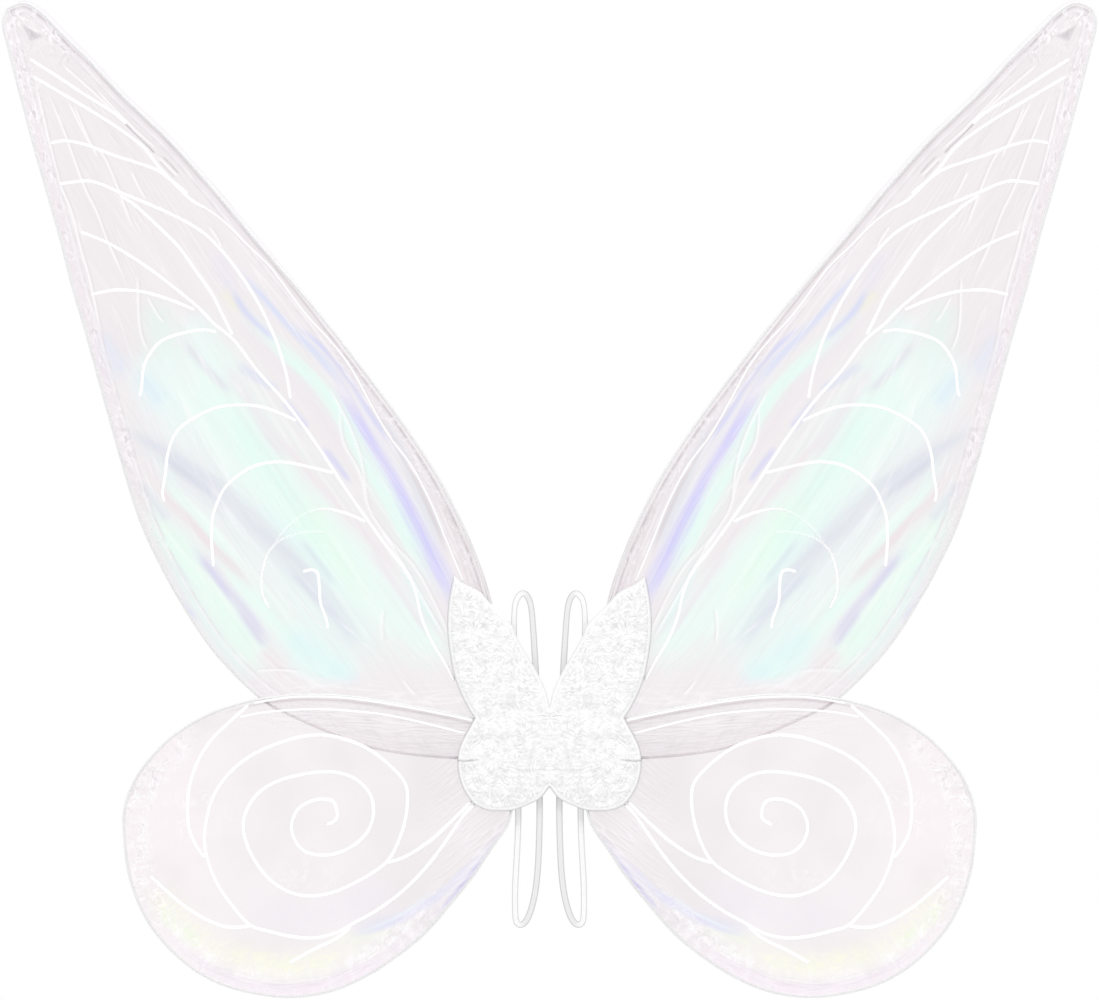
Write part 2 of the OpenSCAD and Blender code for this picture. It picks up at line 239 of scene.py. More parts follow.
def worley(x, y, seed=0):
    """Distance to the nearest and second nearest of one random point per cell, and the nearest one's random number."""
    xi, yi = np.floor(x).astype(np.int64), np.floor(y).astype(np.int64)
    d1 = np.full(x.shape, 9.0)
    d2 = np.full(x.shape, 9.0)
    who = np.zeros(x.shape)
    for di in (-1, 0, 1):
        for dj in (-1, 0, 1):
            px = xi + di + hash01(xi + di, yi + dj, seed)
            py = yi + dj + hash01(xi + di, yi + dj, seed + 7)
            d = np.hypot(px - x, py - y)
            r = hash01(xi + di, yi + dj, seed + 13)
            near = d < d1
            d2 = np.where(near, d1, np.minimum(d2, d))
            who = np.where(near, r, who)
            d1 = np.where(near, d, d1)
    return d1, d2, who


def step(a, b, x):
    t = np.clip((x - a) / (b - a), 0, 1)
    return t * t * (3 - 2 * t)


def line_distance(points, line):
    """Distance of each point to a polyline, and how far along the line its nearest point is, 0 to 1."""
    best = np.full(len(points), 1e9)
    where = np.zeros(len(points))
    a = arclength(line)
    for i in range(len(line) - 1):
        p, q = line[i], line[i + 1]
        v = q - p
        t = np.clip(((points - p) @ v) / max(v @ v, 1e-12), 0, 1)
        d = np.linalg.norm(points - p - t[:, None] * v, axis=1)
        near = d < best
        best = np.where(near, d, best)
        where = np.where(near, (a[i] + t * (a[i + 1] - a[i])) / a[-1], where)
    return best, where


def linear(srgb):
    c = np.array(srgb, float) / 255
    return np.where(c <= 0.04045, c / 12.92, ((c + 0.055) / 1.055) ** 2.4)


# ------------------------------------------------------------------ mesh helpers
def new_mesh(name, verts, faces, smooth=True):
    me = bpy.data.meshes.new(name)
    me.from_pydata(np.asarray(verts, float).tolist(), [], [tuple(int(i) for i in f) for f in faces])
    me.update()
    if smooth:
        me.polygons.foreach_set("use_smooth", np.ones(len(me.polygons), bool))
    o = bpy.data.objects.new(name, me)
    scene.collection.objects.link(o)
    return o


def colour_attribute(o, name, rgb):
    a = o.data.color_attributes.new(name, "FLOAT_COLOR", "POINT")
    rgba = np.ones((len(rgb), 4), np.float32)
    rgba[:, :3] = rgb
    a.data.foreach_set("color", rgba.ravel())


def value_attribute(o, name, v):
    a = o.data.attributes.new(name, "FLOAT", "POINT")
    a.data.foreach_set("value", np.asarray(v, np.float32))


def both_sides(name, verts, faces, **attributes):
    """The left piece and its mirror image on the right."""
    made = []
    for side, sign in (("left", 1), ("right", -1)):
        v = np.array(verts, float).copy()
        v[:, 0] *= sign
        f = faces if sign == 1 else [tuple(reversed(q)) for q in faces]
        o = new_mesh(f"{side}_{name}", v, f)
        for key, val in attributes.items():
            val = np.asarray(val)
            if val.ndim == 2:
                colour_attribute(o, key, val)
            else:
                value_attribute(o, key, val)
        made.append(o)
    return made


def tube(path, radius, sides=12, caps=True):
    """A round tube along a path of 3-D points, with its own frame carried along."""
    path = np.asarray(path, float)
    t = tangents(path)
    n = len(path)
    up = np.array([0.0, 1.0, 0.0])
    verts, faces = [], []
    r = np.broadcast_to(np.asarray(radius, float), (n,))
    for i in range(n):
        a = np.cross(t[i], up)
        la = np.linalg.norm(a)
        if la < 1e-6:
            a, la = np.array([1.0, 0, 0]), 1.0
        a = a / la
        b = np.cross(a, t[i])
        for k in range(sides):
            w = 2 * math.pi * k / sides
            verts.append(path[i] + r[i] * (math.cos(w) * a + math.sin(w) * b))
    for i in range(n - 1):
        for k in range(sides):
            k2 = (k + 1) % sides
            faces.append((i * sides + k, i * sides + k2, (i + 1) * sides + k2, (i + 1) * sides + k))
    if caps:
        faces.append(tuple(reversed(range(sides))))
        faces.append(tuple(range((n - 1) * sides, n * sides)))
    return verts, faces


def join(parts):
    """Several (verts, faces) lists as one."""
    verts, faces, base = [], [], 0
    for v, f in parts:
        verts.extend(v)
        faces.extend(tuple(i + base for i in q) for q in f)
        base += len(v)
    return verts, faces


# ------------------------------------------------------------------ materials
def material(name):
    m = bpy.data.materials.new(name)
    m.use_nodes = True
    nt = m.node_tree
    for n in list(nt.nodes):
        nt.nodes.remove(n)
    out = nt.nodes.new("ShaderNodeOutputMaterial")
    return m, nt, out


def node(nt, kind, **inputs):
    n = nt.nodes.new(kind)
    for k, v in inputs.items():
        key = k.replace("_", " ")
        if key in n.inputs:
            n.inputs[key].default_value = v
    return n


def ramp(nt, source, stops):
    r = nt.nodes.new("ShaderNodeValToRGB")
    while len(r.color_ramp.elements) < len(stops):
        r.color_ramp.elements.new(0.5)
    for e, (at, c) in zip(r.color_ramp.elements, stops):
        e.position = at
        e.color = (*c, 1) if len(c) == 3 else c
    nt.links.new(source, r.inputs["Fac"])
    return r


SKIN_LIGHT = 0.93     # how bright the film's own pale surface comes out under this light
MILKY = 0.10          # how much of the film's look is its own pale surface and not what shows through


def film_material(name, GRAIN_TURN, GRAIN, low):
    m, nt, out = material(name)
    L = nt.links.new
    # the film's colour, with painted highlights and painted shade worked into it, comes from the point colours
    tint = nt.nodes.new("ShaderNodeAttribute"); tint.attribute_name = "tint"
    body = nt.nodes.new("ShaderNodeAttribute"); body.attribute_name = "body"
    coords = nt.nodes.new("ShaderNodeTexCoord")
    fine = node(nt, "ShaderNodeTexNoise", Scale=420.0, Detail=3.0, Roughness=0.6)
    L(coords.outputs["Object"], fine.inputs["Vector"])
    broad = node(nt, "ShaderNodeTexNoise", Scale=38.0, Detail=2.0, Roughness=0.5)
    L(coords.outputs["Object"], broad.inputs["Vector"])
    # the same drawn-out grain on both sides of the middle, along each wing
    split = nt.nodes.new("ShaderNodeSeparateXYZ")
    L(coords.outputs["Object"], split.inputs["Vector"])
    mirror = nt.nodes.new("ShaderNodeMath"); mirror.operation = "ABSOLUTE"
    L(split.outputs["X"], mirror.inputs[0])
    both = nt.nodes.new("ShaderNodeCombineXYZ")
    L(mirror.outputs["Value"], both.inputs["X"]); L(split.outputs["Z"], both.inputs["Z"])
    turn = nt.nodes.new("ShaderNodeMapping")
    turn.inputs["Rotation"].default_value = (0, GRAIN_TURN, 0)
    L(both.outputs["Vector"], turn.inputs["Vector"])
    pull = nt.nodes.new("ShaderNodeMapping")
    pull.inputs["Scale"].default_value = (GRAIN[0], 1, GRAIN[1])
    L(turn.outputs["Vector"], pull.inputs["Vector"])
    fibre = node(nt, "ShaderNodeTexNoise", Scale=1.0, Detail=3.0, Roughness=0.55, Distortion=0.3)
    L(pull.outputs["Vector"], fibre.inputs["Vector"])
    cloud = ramp(nt, fibre.outputs["Fac"], [(0.30, (low,) * 3), (0.50, (1, 1, 1)), (0.70, (1.0, 1.0, 1.0)), (0.82, (2 - low,) * 3)])
    mix = nt.nodes.new("ShaderNodeMix"); mix.data_type = "RGBA"; mix.blend_type = "MULTIPLY"
    mix.clamp_result = True
    mix.inputs["Factor"].default_value = 1.0
    L(tint.outputs["Color"], mix.inputs["A"]); L(cloud.outputs["Color"], mix.inputs["B"])
    clear = nt.nodes.new("ShaderNodeBsdfTransparent")
    L(mix.outputs["Result"], clear.inputs["Color"])
    skin = node(nt, "ShaderNodeBsdfPrincipled")
    skin.inputs["Base Color"].default_value = (0.93, 0.92, 0.93, 1)
    skin.inputs["IOR"].default_value = 1.5
    skin.inputs["Thin Film Thickness"].default_value = 340.0
    skin.inputs["Thin Film IOR"].default_value = 1.6
    rough = nt.nodes.new("ShaderNodeMapRange")
    rough.inputs["To Min"].default_value = 0.16; rough.inputs["To Max"].default_value = 0.34
    L(broad.outputs["Fac"], rough.inputs["Value"])
    L(rough.outputs["Result"], skin.inputs["Roughness"])
    bump = node(nt, "ShaderNodeBump", Strength=0.25, Distance=0.0003)
    L(fine.outputs["Fac"], bump.inputs["Height"])
    L(bump.outputs["Normal"], skin.inputs["Normal"])
    shader = nt.nodes.new("ShaderNodeMixShader")
    L(body.outputs["Fac"], shader.inputs["Fac"])
    L(clear.outputs["BSDF"], shader.inputs[1]); L(skin.outputs["BSDF"], shader.inputs[2])
    L(shader.outputs["Shader"], out.inputs["Surface"])
    return m


def simple_material(name, colour, rough, noise_scale, bump_distance, spread=0.03, metallic=0.0,
                    rough_spread=0.1, sheen=0.0, kind="noise", strength=0.6):
    """An opaque material with a procedural grain in colour, roughness and bump."""
    m, nt, out = material(name)
    L = nt.links.new
    coords = nt.nodes.new("ShaderNodeTexCoord")
    if kind == "weave":
        n = node(nt, "ShaderNodeTexWave", Scale=noise_scale, Distortion=1.0, Detail=2.0)
    else:
        n = node(nt, "ShaderNodeTexNoise", Scale=noise_scale, Detail=4.0, Roughness=0.6)
    L(coords.outputs["Object"], n.inputs["Vector"])
    c = np.array(colour, float)
    lo, hi = np.clip(c - spread, 0, 1), np.clip(c + spread, 0, 1)
    r = ramp(nt, n.outputs["Fac"], [(0.3, tuple(lo)), (0.7, tuple(hi))])
    p = node(nt, "ShaderNodeBsdfPrincipled", Metallic=metallic)
    L(r.outputs["Color"], p.inputs["Base Color"])
    if sheen:
        p.inputs["Sheen Weight"].default_value = sheen
    rr = nt.nodes.new("ShaderNodeMapRange")
    rr.inputs["To Min"].default_value = max(rough - rough_spread, 0.02)
    rr.inputs["To Max"].default_value = min(rough + rough_spread, 1)
    L(n.outputs["Fac"], rr.inputs["Value"]); L(rr.outputs["Result"], p.inputs["Roughness"])
    b = node(nt, "ShaderNodeBump", Strength=strength, Distance=bump_distance)
    L(n.outputs["Fac"], b.inputs["Height"]); L(b.outputs["Normal"], p.inputs["Normal"])
    L(p.outputs["BSDF"], out.inputs["Surface"])
    return m


film_mats = {"upper": film_material("iridescent_film_upper", -0.60, (260.0, 8.0), 0.972),
             "lower": film_material("iridescent_film_lower", 0.0, (28.0, 40.0), 0.985)}


def vein_material():
    m, nt, out = material("white_vein_print")
    L = nt.links.new
    coords = nt.nodes.new("ShaderNodeTexCoord")
    grain = node(nt, "ShaderNodeTexNoise", Scale=1100.0, Detail=3.0, Roughness=0.6)
    L(coords.outputs["Object"], grain.inputs["Vector"])
    white = ramp(nt, grain.outputs["Fac"], [(0.3, (0.95, 0.95, 0.95)), (0.7, (1.0, 1.0, 1.0))])
    p = node(nt, "ShaderNodeBsdfPrincipled")
    L(white.outputs["Color"], p.inputs["Base Color"])
    rr = nt.nodes.new("ShaderNodeMapRange")
    rr.inputs["To Min"].default_value = 0.35; rr.inputs["To Max"].default_value = 0.6
    L(grain.outputs["Fac"], rr.inputs["Value"]); L(rr.outputs["Result"], p.inputs["Roughness"])
    b = node(nt, "ShaderNodeBump", Strength=0.4, Distance=0.00008)
    L(grain.outputs["Fac"], b.inputs["Height"]); L(b.outputs["Normal"], p.inputs["Normal"])
    clear = nt.nodes.new("ShaderNodeBsdfTransparent")
    clear.inputs["Color"].default_value = (1.0, 1.0, 1.0, 1)
    worn = nt.nodes.new("ShaderNodeAttribute"); worn.attribute_name = "worn"
    mix = nt.nodes.new("ShaderNodeMixShader")
    L(worn.outputs["Fac"], mix.inputs["Fac"])
    L(p.outputs["BSDF"], mix.inputs[1]); L(clear.outputs["BSDF"], mix.inputs[2])
    L(mix.outputs["Shader"], out.inputs["Surface"])
    return m


vein_mat = vein_material()
wire_mat = simple_material("coated_wire", (0.85, 0.855, 0.85), 0.34, 600, 0.00004, spread=0.02)
thread_mat = simple_material("white_thread", (0.80, 0.80, 0.80), 0.75, 2500, 0.0001, spread=0.06, sheen=0.3)
board_mat = simple_material("grey_board", (0.52, 0.45, 0.36), 0.85, 300, 0.0002, spread=0.06)
tape_mat = simple_material("cloth_tape", (0.78, 0.77, 0.74), 0.7, 700, 0.0002, spread=0.05, kind="weave")
wadding_mat = simple_material("wadding_fibre", (0.86, 0.86, 0.85), 0.95, 260, 0.0012, spread=0.06, sheen=0.4)


def foil_material():
    m, nt, out = material("white_foil_fabric")
    L = nt.links.new
    coords = nt.nodes.new("ShaderNodeTexCoord")
    fine = node(nt, "ShaderNodeTexNoise", Scale=950.0, Detail=4.0, Roughness=0.65)
    L(coords.outputs["Object"], fine.inputs["Vector"])
    cells = nt.nodes.new("ShaderNodeTexVoronoi")
    cells.feature = "F1"
    cells.inputs["Scale"].default_value = 520.0
    cells.inputs["Randomness"].default_value = 1.0
    L(coords.outputs["Object"], cells.inputs["Vector"])
    # the base colour carries the painted shade worked out for each point of the fabric
    crease = nt.nodes.new("ShaderNodeAttribute"); crease.attribute_name = "crease"
    shade = ramp(nt, crease.outputs["Fac"], [(0.0, (0.50, 0.50, 0.51)), (0.4, (0.72, 0.72, 0.725)), (0.75, (0.85, 0.85, 0.85)), (1.0, (0.93, 0.93, 0.93))])
    p = node(nt, "ShaderNodeBsdfPrincipled")
    p.inputs["Metallic"].default_value = 0.12
    p.inputs["Sheen Weight"].default_value = 0.15
    L(shade.outputs["Color"], p.inputs["Base Color"])
    rr = nt.nodes.new("ShaderNodeMapRange")
    rr.inputs["To Min"].default_value = 0.28; rr.inputs["To Max"].default_value = 0.55
    L(fine.outputs["Fac"], rr.inputs["Value"]); L(rr.outputs["Result"], p.inputs["Roughness"])
    add = nt.nodes.new("ShaderNodeMath"); add.operation = "ADD"
    L(fine.outputs["Fac"], add.inputs[0]); L(cells.outputs["Distance"], add.inputs[1])
    b = node(nt, "ShaderNodeBump", Strength=0.5, Distance=0.0003)
    L(add.outputs["Value"], b.inputs["Height"]); L(b.outputs["Normal"], p.inputs["Normal"])
    L(p.outputs["BSDF"], out.inputs["Surface"])
    return m


foil_mat = foil_material()


def elastic_material():
    m, nt, out = material("ribbed_elastic")
    L = nt.links.new
    coords = nt.nodes.new("ShaderNodeTexCoord")
    # the base colour carries the painted shade worked out for each point of the strap
    rib = nt.nodes.new("ShaderNodeAttribute"); rib.attribute_name = "rib"
    knit = node(nt, "ShaderNodeTexNoise", Scale=1600.0, Detail=2.0, Roughness=0.5)
    L(coords.outputs["Object"], knit.inputs["Vector"])
    shade = ramp(nt, rib.outputs["Fac"], [(0.0, (0.42, 0.42, 0.42)), (0.35, (0.70, 0.70, 0.70)), (0.75, (0.88, 0.88, 0.88)), (1.0, (0.96, 0.96, 0.96))])
    p = node(nt, "ShaderNodeBsdfPrincipled")
    p.inputs["Sheen Weight"].default_value = 0.25
    L(shade.outputs["Color"], p.inputs["Base Color"])
    rr = nt.nodes.new("ShaderNodeMapRange")
    rr.inputs["To Min"].default_value = 0.6; rr.inputs["To Max"].default_value = 0.85
    L(knit.outputs["Fac"], rr.inputs["Value"]); L(rr.outputs["Result"], p.inputs["Roughness"])
    b = node(nt, "ShaderNodeBump", Strength=0.6, Distance=0.00015)
    L(knit.outputs["Fac"], b.inputs["Height"]); L(b.outputs["Normal"], p.inputs["Normal"])
    L(p.outputs["BSDF"], out.inputs["Surface"])
    return m


elastic_mat = elastic_material()


# ------------------------------------------------------------------ wing films
def line_frame(points, line):
    """Signed distance of each point to a polyline, and the distance run along it, in the points' units."""
    best = np.full(len(points), 1e9)
    where = np.zeros(len(points))
    side = np.ones(len(points))
    a = arclength(line)
    for i in range(len(line) - 1):
        p, q = line[i], line[i + 1]
        v = q - p
        r = points - p
        t = np.clip((r @ v) / max(v @ v, 1e-12), 0, 1)
        d = np.linalg.norm(r - t[:, None] * v, axis=1)
        near = d < best
        best = np.where(near, d, best)
        where = np.where(near, a[i] + t * (a[i + 1] - a[i]), where)
        side = np.where(near, np.sign(v[0] * r[:, 1] - v[1] * r[:, 0]), side)
    return best * side, where, a[-1]


def paint(pts, base, streaks, seed):
    """The film's colour seen from the front, in linear RGB, from soft streaks laid along drawn lines. pts are in grid
    steps.
    """
    col = np.array(base, float)
    for k, (line, w0, w1, colour, strength) in enumerate(streaks):
        c = catmull(line, 6)
        lo, hi = c.min(0) - 3 * max(w0, w1), c.max(0) + 3 * max(w0, w1)
        near = ((pts > lo) & (pts < hi)).all(1)
        if not near.any():
            continue
        d, run, total = line_frame(pts[near], c)
        at = run / total
        w = w0 + (w1 - w0) * at
        fibre = gnoise(d / 2.6 + 50 * k, run / 70, seed + k) + 0.6 * gnoise(d / 6 + 9, run / 45, seed + 40 + k)
        ends = step(0, 0.26, at + 0.01) * step(0, 0.24, 1 - at + 0.01) if total > 40 else 1.0
        reach = np.abs(d) / np.maximum(w, 0.5) * (1 - 0.22 * fibre)
        f = np.exp(-np.clip(reach, 0, 6) ** (2.4 if total > 40 else 2.0) * 0.8) * ends * np.clip(0.9 + 0.22 * fibre, 0, 1.1) * strength
        f = np.clip(f, 0, 1)[:, None]
        col[near] = col[near] * (1 - f) + linear(colour)[None] * f
    return col


def make_film(name, lead, trail, y0, hem_lead, hem_trail, n, m, decorate, flap):
    """A film with its edge wrapped over the wire and bonded behind it. lead and trail run from the root to the tip."""
    A = resample(soften(catmull(lead, 24), 6), n + 1)
    B = resample(soften(catmull(trail, 24), 6), n + 1)
    tip = (A[-1] + B[-1]) / 2
    A[-1] = B[-1] = tip
    s = np.linspace(0, 1, m + 1)
    s = 0.5 * s + 0.5 * (0.5 - 0.5 * np.cos(np.pi * s))
    G = A[:-1, None, :] * (1 - s)[None, :, None] + B[:-1, None, :] * s[None, :, None]   # n x (m+1) x 2
    pts = np.concatenate([G.reshape(-1, 2), tip[None]])
    S = np.concatenate([np.tile(s, n), [0.5]])
    T = np.concatenate([np.repeat(np.linspace(0, 1, n + 1)[:-1], m + 1), [1.0]])
    edge = np.concatenate([A, B[-2::-1]])
    d, at = line_distance(pts, edge[::2] if len(edge) % 2 else edge)
    root_d = np.minimum(d, 1e9)
    # height of the bonded film over the wire, then its own creases
    over = (WIRE_R + 0.14 * MM) / U
    rise = 0.15 + (over - 0.15) * np.exp(-(d / 4.2) ** 2)
    look = decorate(pts, S, T, d, at)
    y = y0 - rise * U + look["lift"] * (1 - np.exp(-(d / 7.0) ** 2))
    verts = np.stack([pts[:, 0] * U, y, pts[:, 1] * U], 1)
    faces = []
    idx = np.arange(n * (m + 1)).reshape(n, m + 1)
    a, b, c, e = idx[:-1, :-1], idx[:-1, 1:], idx[1:, 1:], idx[1:, :-1]
    faces.extend(zip(a.ravel(), b.ravel(), c.ravel(), e.ravel()))
    pole = len(pts) - 1
    faces.extend((idx[-1, j], idx[-1, j + 1], pole) for j in range(m))
    # the wrap round the wire and the hem behind it, along the whole edge
    t = tangents(edge)
    out = np.stack([-t[:, 1], t[:, 0]], 1)
    centre = pts.mean(0)
    if ((edge - centre) * out).sum(1).mean() < 0:
        out = -out
    ring = np.concatenate([idx[:, 0], [pole], idx[::-1, m]])
    k = len(ring)
    hem = np.concatenate([hem_lead(np.linspace(0, 1, n + 1)), hem_trail(np.linspace(0, 1, n + 1))[-2::-1]])
    along = arclength(edge)
    rows, row_d = [], []
    # over the wire, out to the flap's edge, and back behind it
    reach = np.concatenate([flap(np.linspace(0, 1, n + 1)), np.full(n, 0.3)])
    reach = reach + 0.15 * gnoise(along / 14, along * 0, 6)
    for r0, part, depth in ((0.5, 0.0, -0.87), (0.87, 0.0, -0.5), (1.0, 0.15, -0.2), (1.0, 0.6, -0.12), (1.0, 1.0, 0.0),
                            (1.0, 0.6, 0.12), (1.0, 0.15, 0.2), (0.87, 0.0, 0.5), (0.5, 0.0, 0.87), (0.0, 0.0, 1.0)):
        p = edge + out * (over * r0 + np.maximum(reach, 0.1) * part)[:, None]
        rows.append(np.stack([p[:, 0] * U, np.full(k, y0 + over * depth * U), p[:, 1] * U], 1))
        row_d.append(np.zeros(k))
    for q in (0.08, 0.18, 0.32, 0.5, 0.68, 0.84, 0.94, 1.0):
        dd = hem * q
        if q == 1.0:
            dd = dd + 0.6 * gnoise(along / 9, along * 0, 5)
        p = edge - out * dd[:, None]
        lay = 0.15 + (over - 0.15) * np.exp(-(dd / 4.2) ** 2)
        pucker = 0.35 * np.clip(gnoise(along / 6.5, dd / 16 + 3, 11), 0, 1) * step(0.0, 0.4, q) * (1 - 0.4 * q)
        yy = y0 + (lay + pucker) * U
        rows.append(np.stack([p[:, 0] * U, yy, p[:, 1] * U], 1))
        row_d.append(dd)
    base = len(verts)
    verts = np.concatenate([verts] + rows)
    prev = ring
    for r in range(len(rows)):
        cur = base + r * k + np.arange(k)
        for i in range(k - 1):
            faces.append((prev[i], cur[i], cur[i + 1], prev[i + 1]))
        prev = cur
    hem_pts = np.concatenate([edge - out * dd[:, None] for dd in row_d])
    hem_look = look["hem"](hem_pts, np.concatenate(row_d), np.tile(along, len(rows)))
    target = np.concatenate([look["colour"], hem_look["colour"]])
    body = np.concatenate([look["body"], hem_look["body"]])
    # what shows through is the wanted colour less what the pale surface adds
    through = np.clip((target - body[:, None] * SKIN_LIGHT) / (1 - body[:, None]), 0, 1)
    area = sum_area(verts, faces)
    pieces = both_sides(name, verts, faces, tint=through, body=body)
    return pieces, area, verts, faces[: (n - 1) * m + m]


def sum_area(verts, faces):
    v = np.asarray(verts)
    quads = np.array([f if len(f) == 4 else (*f, f[-1]) for f in faces])
    a, b, c, d = (v[quads[:, i]] for i in range(4))
    return float((np.linalg.norm(np.cross(b - a, c - a), axis=1)
                  + np.linalg.norm(np.cross(c - a, d - a), axis=1)).sum() / 2)


def creases(S, T, across, length, seed, width=0.05):
    """Thin lines where a stretched noise crosses zero, 0 to 1."""
    n = gnoise(S * across + 0.6 * gnoise(S * 3, T * 5, seed + 3), T * length, seed)
    mask = step(0.0, 0.5, gnoise(S * across * 0.4 + 5, T * length * 1.7, seed + 9))
    return np.exp(-(n / width) ** 2) * mask


MINT, PALE_MINT, DEEP_MINT = (235, 253, 246), (237, 250, 247), (227, 253, 243)
SKY, LAVENDER, BLUE, VIOLET_GREY = (222, 240, 252), (217, 216, 246), (207, 204, 255), (221, 221, 236)
PINK, ROSE, YELLOW = (241, 233, 237), (240, 229, 233), (242, 240, 226)
